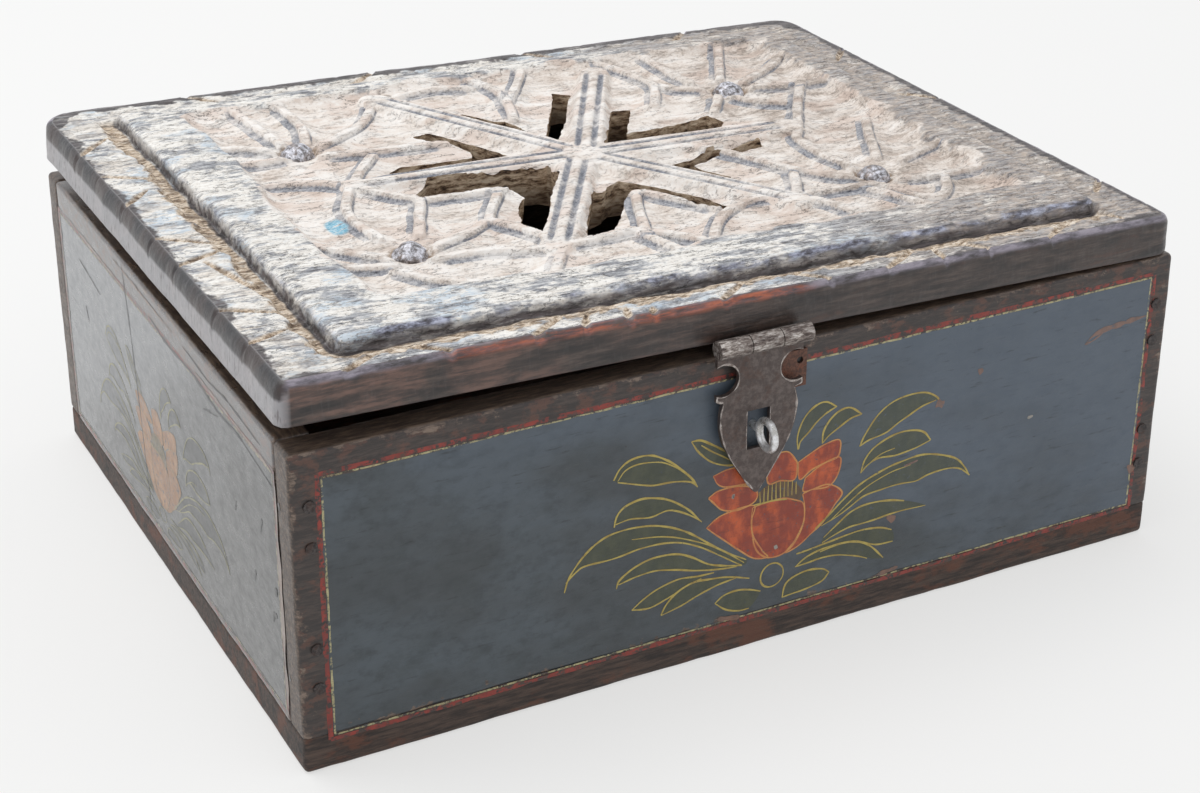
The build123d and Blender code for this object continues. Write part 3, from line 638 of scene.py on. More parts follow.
def stroke_look(name, face, color, second, opacity, worn, size=1.6, tone=4.0):
    """Brush paint over a painted face, worn through in small patches so that the face shows."""
    k = Look(name, 0.45, coat=(LEFT_COAT if face is LEFT_FACE else COAT, COAT_ROUGHNESS))
    base, grain, weave, relief = slate_paint(k, *face)
    ink = k.mix(color, second, k.step(k.noise(tone, 4, 0.62, (1, 1, 1.8), 8), 0.38, 0.66))
    ink = k.mix(ink, [c * 0.72 for c in color], k.step(grain, 0.54, 0.70) * 0.6)
    share = (1 - k.step(k.noise(size, 5, 0.72, shift=2), *worn)) * opacity
    return k.finish(k.mix(base, ink, share), k.scaled(weave, 0.3, 0.7, 0.46 - 0.1, 0.46 + 0.12),
                    k.bump(relief, 0.30))


def spaced(low, high, step, fine, reach):
    """Places from low to high: fine near both ends, coarser between."""
    ends = np.arange(0, reach + 1e-6, fine)
    count = max(2, int(round((high - low - 2 * reach) / step)) + 1)
    places = [low + ends, np.linspace(low + reach, high - reach, count), high - ends]
    return np.unique(np.round(np.concatenate(places), 4))


SAG, RADIUS_NOISE = 0.12, 0.45      # how far a board has moved, and how unevenly its edges are rounded


def board_mesh(low, high, step, radius, seed):
    """Points, faces and flat-box places of a worn board: rounded, slightly wavy, with uneven edges."""
    axes = [spaced(low[i], high[i], step, fine=min(0.6, (high[i] - low[i]) / 8),
                   reach=min(4.2, (high[i] - low[i]) / 2 - 0.1))
            for i in range(3)]
    points, faces, table = [], [], {}

    def number(p):
        key = tuple(np.round(p, 3))
        if key not in table:
            table[key] = len(points)
            points.append(p)
        return table[key]

    for fixed in range(3):
        a, b = [i for i in range(3) if i != fixed]
        for end, value in ((0, low[fixed]), (1, high[fixed])):
            index = np.empty((len(axes[a]), len(axes[b])), int)
            for i, pa in enumerate(axes[a]):
                for j, pb in enumerate(axes[b]):
                    p = [0.0, 0.0, 0.0]
                    p[fixed], p[a], p[b] = value, pa, pb
                    index[i, j] = number(tuple(p))
            q = grid_quads(index)
            flip = (fixed == 1) == (end == 1)
            faces.append(q[:, ::-1] if flip else q)
    flat = np.array(points)
    lo, hi = np.array(low), np.array(high)
    r = radius * (1 + RADIUS_NOISE * fractal(*flat.T, 11, seed, 3))
    r = np.clip(r, 0.3, None)[:, None]
    middle = (lo + hi) / 2
    core = np.clip(flat, np.minimum(lo + r, middle), np.maximum(hi - r, middle))
    away = flat - core
    length = np.linalg.norm(away, axis=1, keepdims=True)
    shaped = core + away / np.maximum(length, 1e-9) * np.minimum(r, (hi - lo).min() / 2)
    shaped = np.where(length > 1e-9, shaped, flat)
    normal = away / np.maximum(length, 1e-9)
    gaps = np.sort(np.minimum(flat - lo, hi - flat), axis=1)
    near_edge = smooth(1 - gaps[:, 1:2] / 7.0)
    nicks = np.maximum(0, fractal(*flat.T, 3.2, seed + 5, 2))[:, None]
    waves = fractal(*flat.T, 34, seed + 3, 2)[:, None]
    shaped += normal * near_edge * (SAG * waves - 0.3 * SAG - 0.16 * nicks)
    return shaped, faces, flat, np.clip(1 - gaps[:, 1] / 7.0, 0, 1)


def make_board(name, low, high, outer_axis, outer_side, material, replaces, seed, radius, step=3.0):
    points, faces, flat, wear = board_mesh(low, high, step, radius, seed)
    face = high[outer_axis] if outer_side > 0 else low[outer_axis]
    outer = (np.abs(flat[:, outer_axis] - face) < 0.01).astype(float)
    make_piece(name, points, faces, "box", material, replaces=(replaces,),
               attributes={"outer": outer, "wear": wear})


HALF_W, HALF_D = BOX_WIDTH / 2, BOX_DEPTH / 2
SEAM = BOTTOM - 1.2       # the walls' rounded feet are sunk a little, so that the seam closes
FRONT_FACE = ("x", (-141.0, 141.9, 12.0, 94.0), (63, 68, 71), (76, 84, 90), 0.0062, 0.0, 0.75, 0)
LEFT_FACE = ("y", (-104.5, 104.5, 14.5, 91.0), (34, 37, 38), (50, 53, 53), 0.0, 0.8, 0.95, 40)
RIGHT_FACE = ("y", (-104.5, 104.5, 14.5, 91.0), (62, 69, 74), (80, 88, 94), 0.0, 0.3, 0.3, 60)
BACK_FACE = ("x", (-138.0, 138.0, 14.5, 91.0), (62, 69, 74), (80, 88, 94), 0.0, 0.2, 0.3, 80)
make_board("front_wall", (-HALF_W, FRONT, SEAM), (HALF_W, FRONT + WALL, BOX_HEIGHT), 1, -1,
           painted_look("painted_front", *FRONT_FACE), "front_board", 3, radius=1.7)
make_board("back_wall", (-HALF_W, BACK - WALL, SEAM), (HALF_W, BACK, BOX_HEIGHT), 1, 1,
           painted_look("painted_back", *BACK_FACE), "back_board", 5, radius=1.7)
make_board("left_wall", (-HALF_W, FRONT + WALL, SEAM), (-HALF_W + WALL, BACK - WALL, BOX_HEIGHT), 0, -1,
           painted_look("painted_left", *LEFT_FACE, rough=0.32, coat=LEFT_COAT), "left_board", 7, radius=1.2)
make_board("right_wall", (HALF_W - WALL, FRONT + WALL, SEAM), (HALF_W, BACK - WALL, BOX_HEIGHT), 0, 1,
           painted_look("painted_right", *RIGHT_FACE), "right_board", 9, radius=1.2)
make_board("base_board", (-HALF_W, -HALF_D, 0.0), (HALF_W, HALF_D, BOTTOM), 2, -1,
           raw_wood_look("worn_base", (88, 72, 63), (44, 37, 34), 0.55, stain=(104, 66, 50)),
           "bottom_board", 11, step=4.0, radius=1.7)


# The carved lid
EDGE_RADIUS = 3.0
CORNER_RADII = (3.6, 6.0, 10.0, 13.0)
PANEL = (-127.2, 132.7, -100.8, 102.8)
FIELD = (-107.2, 120.7, -79.8, 93.8)
GROOVE = 6.5
FIELD_FLOOR = 11.4
STAR = (2.5, 6.0)
RIDGE_SHIFT = (-0.9, -4.4)

# Pierced slots, outlined as they were cut by hand
SLOTS = read_lines("""
-61 -1, -54 5.5, -41 4, -28 2.5, -12 1, -13 -7, -26 -27, -30 -35, -39.5 -49, -42.5 -45, -40 -35, -36 -24,
-30.5 -17, -32 -11.5, -42 -11, -61 -10;
-8 -22, -5 -23, -2 -19, 4 -16, 9 -21, 12 -24, 16 -31, 22 -40, 24.5 -47, 25 -51, 21.5 -54, 17 -53, 14 -49,
11 -41, 7 -33, 4 -29, 1 -29, -3 -34, -12 -47, -20 -57.5, -28 -60, -26 -51, -18 -38;
21 -11, 37 -7.5, 55 -3.5, 65.5 -2.5, 65 -6, 55 -8, 40 -11, 34 -13, 35 -19, 40 -27, 37 -29, 30 -20;
15.5 15, 22 26, 35 47, 41 45, 29 24, 42 24, 55 27, 62 27, 65 21, 62 16.5, 50 17, 38 16;
-21 62, -15 64, -9 55, -1 37, 2 33, 18 61, 24 72, 29 68, 14 42, 1.5 24, -1 27, -8 41, -15 52;
-40 49, -34 51, -25 34, -17 17, -22 14, -38 13, -59 15.5, -64 15.5, -63 19, -55 24, -42 23, -30 23, -28 28,
-31 34, -37 44
""")

# Raised lines of the carving, each with a pair of cut lines, read 11.5 mm above the lid's underside
RIDGES = read_lines("""
-76 18, -83 4, -87 -6, -88 -18, -86 -30; -76 12, -68 0, -63 -6, -68 -18, -74 -32;
-63 -6.5, -48 -7, -34 -7.5; -36 -8, -44 -20, -50 -30; -50 -30, -45 -38, -41 -46, -38.5 -57;
-50 -30, -60 -37, -74 -43; -78 -51, -60 -52.5, -50 -56, -38 -58; -38 -58, -43 -65, -49 -74;
-38 -58, -26 -56.5, -12 -54.5; -12 -56, -10 -66, -7 -77; -12 -56, -3 -64, 5 -73; 3 -27, -3 -40, -9 -55;
4 -27, 12 -38, 20 -49; 27 -50, 18 -56, 11 -64, 5 -73; 27 -50, 37 -47, 48 -50; 48 -50, 55 -60, 60 -74;
60 -30, 55 -40, 49 -50; 42 3, 52 -12, 60 -28, 70 -40, 80 -46; 49 -50, 66 -50.5, 80 -51.5;
88 -50, 104 -53, 122 -52; 92 20, 84 5, 78 -4, 77 -20, 80 -36; 112 6, 102 -12, 93 -30;
124 -25, 112 -30, 98 -36; 104 -53, 98 -63, 91 -69, 84 -65, 80 -53; 72 -52, 78 -62, 84 -76;
-34 100, -44 80, -53 67, -66 57, -76 51; -34 39, -50 40, -64 41, -76 44; -110 26, -90 22, -77 14;
-110 50, -98 45, -87 46; -108 62, -98 60, -88 52; -84 56, -86 76, -88 98; -76 58, -72 74, -72 96;
-60 38, -68 28, -76 16; -108 -26, -98 -38, -90 -46; -92 -54, -84 -66, -72 -74; -110 -44, -98 -50, -90 -51;
0 100, 5 84, 3 68, -2 52; 3 68, 14 84, 24 100; -2 88, -14 92, -30 90; 52 100, 57 84, 60 66, 50 46;
60 66, 66 58, 74 54; 73 98, 72 78, 74 62; 106 98, 96 80, 86 62; 122 78, 108 66, 92 56;
124 46, 106 46, 90 50; 96 28, 84 36, 80 44; 66 32, 72 40, 76 46; 112 48, 98 28, 86 8
""")
# Straps of the star: ends of each middle line and half widths near the hub and at the end
STRAPS = [
    ((2, 5), (80, 4), 8.5, 7.0), ((2, 7), (-78, 10), 7.5, 4.6), ((1, 6), (-41, -62), 7.5, 6.0),
    ((3, 6), (46, -58), 7.5, 5.5), ((3, 6), (46, 82), 7.0, 6.0), ((2, 7), (-40, 84), 7.0, 6.5),
]
NAILS = {"front_left": (-82.5, -47.0), "front_right": (82.5, -47.0), "back_left": (-82.5, 47.0),
         "back_right": (82.5, 47.0)}

# Cuts of the gouge on the border, in the lid's own plan
GOUGES = read_lines("""
-133 -117, -114 -105; -114 -105, -97 -117; -77 -117, -61 -106; -17 -117, -3 -107; 9 -104, 23 -116;
41 -116, 61 -104; 63 -108, 62 -117; 71 -106, 79 -115; 102 -115, 123 -102; 129 -103, 133 -112;
-149 -6, -134 -17; -149 -30, -133 -23; -147 50, -132 41; -149 -64, -132 -73; -149 21, -138 33;
-150 70, -136 84; -150 -90, -135 -84; -140 -30, -132 -60; -60 -117, -56 -110; -46 -117, -43 -109;
140 -90, 149 -80; 138 20, 149 8; 139 62, 149 74; -40 106, -26 116; 30 116, 44 106; 92 106, 104 116;
-100 116, -88 106; -38 -117, -36 -112
""")


def slots_distance(x, y):
    wob = 0.45 * noise3(x, y, 0, 4.0, 61) + 0.25 * noise3(x, y, 0, 1.7, 67)
    d = np.full(x.shape, 1e9)
    for outline in SLOTS:
        pts = np.array(outline, float)
        (low_x, low_y), (high_x, high_y) = pts.min(0) - 12, pts.max(0) + 12
        near = (x > low_x) & (x < high_x) & (y > low_y) & (y < high_y)
        if near.any():
            part = polygon_distance(x[near], y[near], pts) + wob[near]
            d[near] = np.minimum(d[near], part)
    return d


def outline_distance(x, y, inset):
    """Signed distance to the lid's outline, drawn in by an inset; the outline is a little uneven."""
    hx, hy = LID_LENGTH / 2 - inset, LID_DEPTH / 2 - inset
    radii = tuple(max(r - inset, 0.6) for r in CORNER_RADII)
    return rounded_rect(x, y, -hx, hx, -hy, hy, radii)


def lid_surface(x, y):
    """Height of the lid's top and the masks that its finish uses, at places in plan."""
    zero = np.zeros_like(x)
    n_broad = fractal(x, y, zero, 38, 3, 2)
    n_mid = fractal(x, y, zero, 7, 5, 3)
    n_fibre = fractal(x * 0.16, y, zero, 2.2, 7, 2)
    wx, wy = x + 0.6 * noise3(x, y, 0, 9, 91), y + 0.6 * noise3(x, y, 0, 9, 93)

    scallop = 2.8 * noise3(x, y, 0, 22, 23) + 1.2 * noise3(x, y, 0, 8, 25)
    field_d = rounded_rect(wx, wy, *FIELD, (9, 8, 10, 8)) + scallop
    panel_d = rounded_rect(wx, wy, *PANEL, (2.0, 5.0, 3.0, 3.0)) + 0.35 * noise3(x, y, 0, 6, 29)
    grooved_d = panel_d - GROOVE + 1.3 * noise3(x, y, 0, 7, 37) + 1.0 * noise3(x, y, 0, 2.6, 39)

    # The field: hollows scooped between ridges, and straps over them
    inside = field_d < 3
    fx, fy, fd = x[inside], y[inside], field_d[inside]
    lift, cut, grey = np.zeros(fx.shape), np.zeros(fx.shape), np.zeros(fx.shape)
    for points in RIDGES:
        pts = curve_through([(px + RIDGE_SHIFT[0], py + RIDGE_SHIFT[1]) for px, py in points], 5)
        lo, hi = pts.min(0) - 10, pts.max(0) + 10
        pick = (fx > lo[0]) & (fx < hi[0]) & (fy > lo[1]) & (fy < hi[1])
        if not pick.any():
            continue
        s, t = line_distance(fx[pick], fy[pick], pts)
        lee = s - line_distance(fx[pick] + 0.9, fy[pick] + 0.45, pts)[0]
        s = s * (1 + 0.12 * noise3(fx[pick], fy[pick], 0, 5, 71))
        fade = smooth(np.minimum(t, 1 - t) / 0.10 + 0.35)
        bead = smooth((1.9 - s) / 0.5)
        rise = (0.34 * bead + 0.66 * np.clip(1 - (s - 1.4) / 8.5, 0, 1) ** 1.9) * (0.80 + 0.20 * fade)
        lift[pick] = np.maximum(lift[pick], rise)
        cut[pick] = np.maximum(cut[pick], bell(s, 2.1, 0.40) * fade)
        band = bell(np.maximum(np.abs(s - 2.9) - 0.7, 0), 0, 0.45) * np.clip(0.35 + 0.8 * lee, 0, 1)
        thin = 0.75 * bell(s, 2.1, 0.45)
        shade = np.maximum(band, thin) * smooth(np.minimum(t, 1 - t) / 0.14 + 0.1)
        grey[pick] = np.maximum(grey[pick], shade)
    shore = np.clip(1 + fd / 7.5, 0, 1) ** 2.2
    top = FIELD_FLOOR - 0.4 + 3.1 * lift
    top = np.maximum(top, FIELD_FLOOR - 0.2 + 3.7 * shore)
    top = top - 0.45 * cut + 0.10 * n_mid[inside]
    strap_lift, strap_cut, strap_grey = np.zeros(fx.shape), np.zeros(fx.shape), np.zeros(fx.shape)
    for (ax, ay), (bx, by), wide, narrow in STRAPS:
        s, t = line_distance(fx, fy, [(ax, ay), (bx, by)])
        half = (wide + (narrow - wide) * t) * (1 + 0.08 * noise3(fx, fy, 0, 9, 53))
        edge = half - s
        body = smooth(np.clip(edge / 3.0 + 0.4, 0, 1))
        crown = 1 - 0.22 * (s / half) ** 2
        strap_lift = np.maximum(strap_lift, body * crown)
        fade = smooth((1.0 - t) / 0.08) * smooth((np.hypot(fx - STAR[0], fy - STAR[1]) - 5.5) / 3.0)
        strap_cut = np.maximum(strap_cut, bell(s, 2.5, 0.85) * (edge > 0) * fade)
        strap_grey = np.maximum(strap_grey, bell(s, 2.7, 1.15) * (edge > 0) * fade)
    strap_top = FIELD_FLOOR - 0.2 + 3.35 * strap_lift
    on_strap = smooth((strap_top - top) / 0.5 + 0.5)
    field_z = np.maximum(top, strap_top) - 1.05 * strap_cut * on_strap
    for nx, ny in NAILS.values():
        s = np.hypot(fx - nx, fy - ny)
        share = smooth((s - 4.8) / 5.0)
        pit = FIELD_FLOOR - 0.3 + 0.9 * bell(s, 7.4, 1.1) * (1 + 0.5 * noise3(fx, fy, 0, 2.5, 49))
        field_z = np.where(s < 12, field_z * share + pit * (1 - share), field_z)
    z = LID_PANEL + 0.22 * n_broad - 0.12 * np.maximum(0, n_mid) - 0.05 * np.abs(n_fibre)
    blend = smooth((field_d + 1.6) / 3.2)
    full = np.full(x.shape, FIELD_FLOOR)
    full[inside] = field_z
    z = np.where(field_d < 1.6, full + (z - full) * blend, z)

    # The panel's worn edge, the rough groove and the border
    inner = -panel_d
    z = z - 1.8 * np.clip(1 - inner / 3.6, 0, 1) ** 2 * (inner > 0)
    pits = np.maximum(0, fractal(x, y, zero, 2.6, 43, 2)) ** 2
    border = LID_BORDER + 0.22 * n_broad + 0.16 * n_mid - 0.07 * np.abs(n_fibre) - 0.30 * pits
    bank = smooth((-y - 101) / 4) * smooth((x + 125) / 10)
    far = np.maximum(smooth((x - 129) / 5), smooth((y - 99) / 4))
    groove_floor = 10.8 + 0.35 * fractal(x * 0.4, y, zero, 1.3, 47, 3) + 0.5 * noise3(x, y, 0, 6, 48)
    outside = smooth(np.clip((grooved_d + 2.2 + 3.4 * bank) / (3.2 + 3.6 * bank), 0, 1))
    low = groove_floor + (border - groove_floor) * np.maximum(outside, 0.8 * far)
    z = np.where(panel_d < 0, np.where(panel_d > -0.7, low + (z - low) * smooth(-panel_d / 0.7), z), low)
    gouge = np.zeros(x.shape)
    rim = panel_d > 3
    for a, b in GOUGES:
        s, t = line_distance(x[rim], y[rim], [a, b])
        width = 0.5 + 0.9 * np.sin(np.pi * np.clip(t * 0.85 + 0.12, 0, 1))
        gouge[rim] = np.maximum(gouge[rim], np.clip(1 - s / (width * 1.2), 0, 1))
    z = z - 1.0 * gouge
    z = z + 0.22 * (bell(np.abs(gouge), 0.12, 0.10) * (gouge > 0))

    line, raw, stain, dirt = np.zeros(x.shape), np.zeros(x.shape), np.zeros(x.shape), np.zeros(x.shape)
    line[inside] = np.maximum(0.5 * cut * (1 - on_strap), strap_cut * on_strap) * (fd < 1.5)
    stain[inside] = np.maximum(grey * (1 - on_strap), strap_grey * on_strap) * (fd < 1.5)
    for nx, ny in NAILS.values():
        dirt[inside] = np.maximum(dirt[inside], smooth((8.5 - np.hypot(fx - nx, fy - ny)) / 3.0))
    raw[inside] = smooth((1.0 + 4.5 * fractal(fx, fy * 1.6, 0 * fx, 9, 45, 3) - fd) / 1.6) * (fd < 2.5)
    ragged = 2.2 * fractal(x, y, zero, 2.4, 57, 3)
    groove = smooth((panel_d - 0.4) / 0.8) * smooth((-grooved_d + 0.9 + 1.6 * bank + ragged) / 0.9)
    groove = groove * (1 - 0.85 * far)
    chips = smooth((fractal(x * 0.45, y, zero, 4.0, 63, 3) - 0.08) / 0.12) * smooth((panel_d - 0.8) / 1.0)
    chips = chips * (0.25 + 0.55 * bank)
    cutout = np.maximum(np.maximum(groove, chips * smooth((-x - 120) / 6 + (bank > 0))), smooth(gouge * 2.2))
    edge = outline_distance(x, y, EDGE_RADIUS)
    reach = 0.2 + 1.6 * smooth((-x - 135) / 6) + 2.6 * smooth((x - 118) / 20) + 3.6 * smooth((y - 98) / 8)
    dark = smooth((edge + reach + 2.6 * n_mid + 1.6 * fractal(x, y, zero, 2.2, 59, 3)) / 0.9)
    dark = dark * (1 - 0.8 * smooth(gouge * 3))
    front_panel = smooth((-y - 92) / 6)
    # sheen: the panel's worn edge gets a painted reflection, strongest along the front
    sheen = smooth((panel_d + 1.9 + 1.2 * front_panel + 0.8 * n_mid) / 0.9) * smooth((-0.4 - panel_d) / 0.4)
    sheen = sheen * (0.35 + 0.65 * front_panel)
    # painted shade: the crevice at the panel's foot is darkened and added to the dark mask
    crevice_shade = smooth((panel_d + 0.75) / 0.35)
    crevice_shade = crevice_shade * smooth((1.3 + 0.7 * front_panel + 1.4 * n_mid - panel_d) / 0.7)
    dark = np.maximum(dark, crevice_shade * (1 - 0.5 * far))
    blue = np.clip(1.25 - np.hypot((x + 94) / 3.0, (y + 17) / 6.5) + 0.35 * n_mid, 0, 1)
    weather = smooth((x + 20) / 150) * 0.8 + smooth((-y - 70) / 40) * 0.2
    return z, {"line": line, "raw": np.clip(raw, 0, 1), "cut": cutout, "dark": np.clip(dark, 0, 1),
               "sheen": sheen, "grey": stain, "dirt": dirt, "blue": smooth(blue * 3), "weather": weather}


def lid_region(x, y):
    """Signed distance to the part of the top inside the rounded edge and outside the slots."""
    return np.maximum(outline_distance(x, y, EDGE_RADIUS), -slots_distance(x, y))


GRID = 0.5
half_x, half_y = LID_LENGTH / 2 - EDGE_RADIUS, LID_DEPTH / 2 - EDGE_RADIUS
px, py, quads, triangles = snapped_grid(-half_x - GRID, half_x + GRID, -half_y - GRID, half_y + GRID, GRID,
                                        lid_region)
pz, masks = lid_surface(px, py)
top_points = np.stack([px, py, pz], 1)
top_normals = vertex_normals(top_points, [quads, triangles])


def part_of_top(name, chosen, replaces=()):
    """One piece of the lid's top: the faces whose middles are chosen."""
    kept = []
    for f in (quads, triangles):
        middle = top_points[f].mean(1)
        kept.append(f[chosen(middle[:, 0], middle[:, 1])])
    used = np.unique(np.concatenate([f.ravel() for f in kept]))
    renumber = np.full(len(top_points), -1)
    renumber[used] = np.arange(len(used))
    c, s = math.cos(LID_TILT), math.sin(LID_TILT)
    n = top_normals[used]
    n = np.stack([n[:, 0] * c + n[:, 2] * s, n[:, 1], -n[:, 0] * s + n[:, 2] * c], 1)
    make_piece(name, top_points[used], [renumber[f] for f in kept], "lid", lid_material,
               replaces=replaces, normals=n, placed=lid_place,
               attributes={key: values[used] for key, values in masks.items()})


def in_field(x, y):
    return (x > FIELD[0] - 4) & (x < FIELD[1] + 4) & (y > FIELD[2] - 4) & (y < FIELD[3] + 4)


lid_material = lid_look()
for side, x_sign in (("left", -1), ("right", 1)):
    for end, y_sign in (("front", -1), ("back", 1)):
        quarter = lambda x, y: in_field(x, y) & ((x - STAR[0]) * x_sign > 0) & ((y - STAR[1]) * y_sign > 0)
        first = (side, end) == ("left", "front")
        part_of_top("lid_carving_%s_%s" % (end, side), quarter, replaces=("lid_board",) if first else ())
    part_of_top("lid_border_" + side, lambda x, y: ~in_field(x, y) & ((x - STAR[0]) * x_sign > 0))

# Rounded edge, sides and underside
edges = rim_edges([quads, triangles])
outer_edges, slot_edges = [], []
for a, b in edges:
    mid_x, mid_y = np.array([(px[a] + px[b]) / 2]), np.array([(py[a] + py[b]) / 2])
    (outer_edges if outline_distance(mid_x, mid_y, EDGE_RADIUS)[0] > -0.4 else slot_edges).append((a, b))


def outward(xs, ys, distance):
    """Direction in plan in which a distance grows."""
    e = 0.05
    gx = distance(xs + e, ys) - distance(xs - e, ys)
    gy = distance(xs, ys + e) - distance(xs, ys - e)
    g = np.hypot(gx, gy) + 1e-12
    return gx / g, gy / g


ring = max(rim_loops(outer_edges), key=len)
rx, ry, rz = px[ring], py[ring], pz[ring]
nx, ny = outward(rx, ry, lambda x, y: outline_distance(x, y, EDGE_RADIUS))
rows, row_arris = [], []
LEFT_BEVEL = 2.6        # how much further down the rounding goes on the worn left side
EDGE_ROWS = 9
SIDE_DEPTHS = (0.25, 0.5, 0.75, 0.92)       # further rows, as shares of the way down the side
RUBBED = (0.0, 0.6, 1.0, 1.0, 1.0, 0.8, 0.4, 0.1, 0.0)      # how far each row of the front edge is rubbed


def ring_row(out, z):
    """The lid's outer ring of points, moved outward by a distance to a height."""
    rows.append(np.stack([rx + nx * out, ry + ny * out, z], 1))


left_side = smooth((-rx - 147.0) / 0.4)
wear_in = 0.45 + 0.45 * fractal(rx, ry, 0 * rx, 13, 111, 3)
dent = 0.5 * np.maximum(0, fractal(rx, ry, 0 * rx, 5, 113, 2)) ** 1.5
for turn in np.linspace(0, math.pi / 2, EDGE_ROWS):
    out = EDGE_RADIUS * math.sin(turn) - (wear_in + dent) * math.sin(turn)
    drop = (EDGE_RADIUS + LEFT_BEVEL * left_side) * (1 - math.cos(turn))
    rough = 0.16 * (1 - 0.75 * left_side) * fractal(rx, ry, 0 * rx + turn * 6, 2.2, 117, 2) * math.sin(turn)
    ring_row(out + rough, rz - drop - 0.2 * dent * math.sin(turn))
    row_arris.append(smooth((1.25 + 0.25 * left_side - turn) / (0.5 - 0.35 * left_side))
                     * smooth((turn + 0.12) / 0.25))
side_top = rows[-1][:, 2]
for share in SIDE_DEPTHS:
    z = side_top * (1 - share)
    wave = 0.22 * fractal(rx * 0.3, ry * 0.3, z * 1.2, 2.4, 121, 2)
    ring_row(EDGE_RADIUS - wear_in * (1 - share * 0.6) + wave, z)
    row_arris.append(np.zeros(len(ring)))
ring_row(EDGE_RADIUS - 0.9, 0 * rz)
row_arris.append(np.full(len(ring), 0.15))
edge_points = np.concatenate(rows)
edge_faces = tube(len(rows), len(ring))
front_side = smooth((-ry - 112) / 2)
rub = front_side * smooth((rx + 108) / 12) * smooth((22 - rx) / 16)
rub_rows = [rub * RUBBED[min(k, len(RUBBED) - 1)] for k in range(len(rows))]
a, b, c = edge_points[edge_faces[3][0][:3]]
facing = np.cross(b - a, c - a)
if facing @ np.array([nx[0], ny[0], 0.0]) < 0:
    edge_faces = [f[:, ::-1] for f in edge_faces]
make_piece("lid_edge", edge_points, edge_faces, "lid", lid_edge_look(), placed=lid_place,
           attributes={"arris": np.concatenate(row_arris), "rub": np.concatenate(rub_rows),
                       "side": np.tile(left_side, len(rows))})

# Slot walls and underside
WALL_ROWS = 6
SLOT_SLOPE = 0.9        # how far each slot widens towards the underside
wall_points, wall_faces, wall_depth = [], [], []
under_loops = [rows[-1]]
for loop in rim_loops(slot_edges):
    if len(loop) < 6:
        continue
    lx, ly, lz = px[loop], py[loop], pz[loop]
    gx, gy = outward(lx, ly, slots_distance)
    base_index = sum(len(w) for w in wall_points)
    m = len(loop)
    levels = []
    for r in range(WALL_ROWS + 1):
        t = r / WALL_ROWS
        z = lz * (1 - t)
        push = 0.0 if r in (0, WALL_ROWS) else 0.5
        slope = -SLOT_SLOPE * t
        rough = push * fractal(lx, ly, z, 3.0, 131, 2)
        levels.append(np.stack([lx - gx * (rough + slope), ly - gy * (rough + slope), z], 1))
    wall_points.append(np.concatenate(levels))
    wall_depth.append(np.repeat(np.arange(WALL_ROWS + 1) / WALL_ROWS, m))
    wall_faces += tube(WALL_ROWS + 1, m, base_index)
    under_loops.append(levels[-1])
make_piece("slot_walls", np.concatenate(wall_points), wall_faces, "lid", slot_look(),
           placed=lid_place, attributes={"depth": np.concatenate(wall_depth)})

flat, lines, start = [], [], 0
for loop in under_loops:
    m = len(loop)
    flat += [Vector((p[0], p[1])) for p in loop]
    lines += [(start + q, start + (q + 1) % m) for q in range(m)]
    start += m
result = geometry.delaunay_2d_cdt(flat, lines, [], 0, 1e-4)
under = np.array([(v.x, v.y, 0.0) for v in result[0]])
tri = np.array([f for f in result[2] if len(f) == 3])
mid_x, mid_y, _ = under[tri].mean(1).T
shown = (outline_distance(mid_x, mid_y, 0.85) < 0.15) & (slots_distance(mid_x, mid_y) > -0.75)
tri = tri[shown]
down = np.cross(under[tri[:, 1]] - under[tri[:, 0]], under[tri[:, 2]] - under[tri[:, 0]])[:, 2] > 0
tri[down] = tri[down][:, ::-1]
make_piece("lid_underside", under, [tri], "lid",
           raw_wood_look("lid_underside_wood", (140, 118, 98), (84, 68, 56), 0.7),
           placed=lid_place)


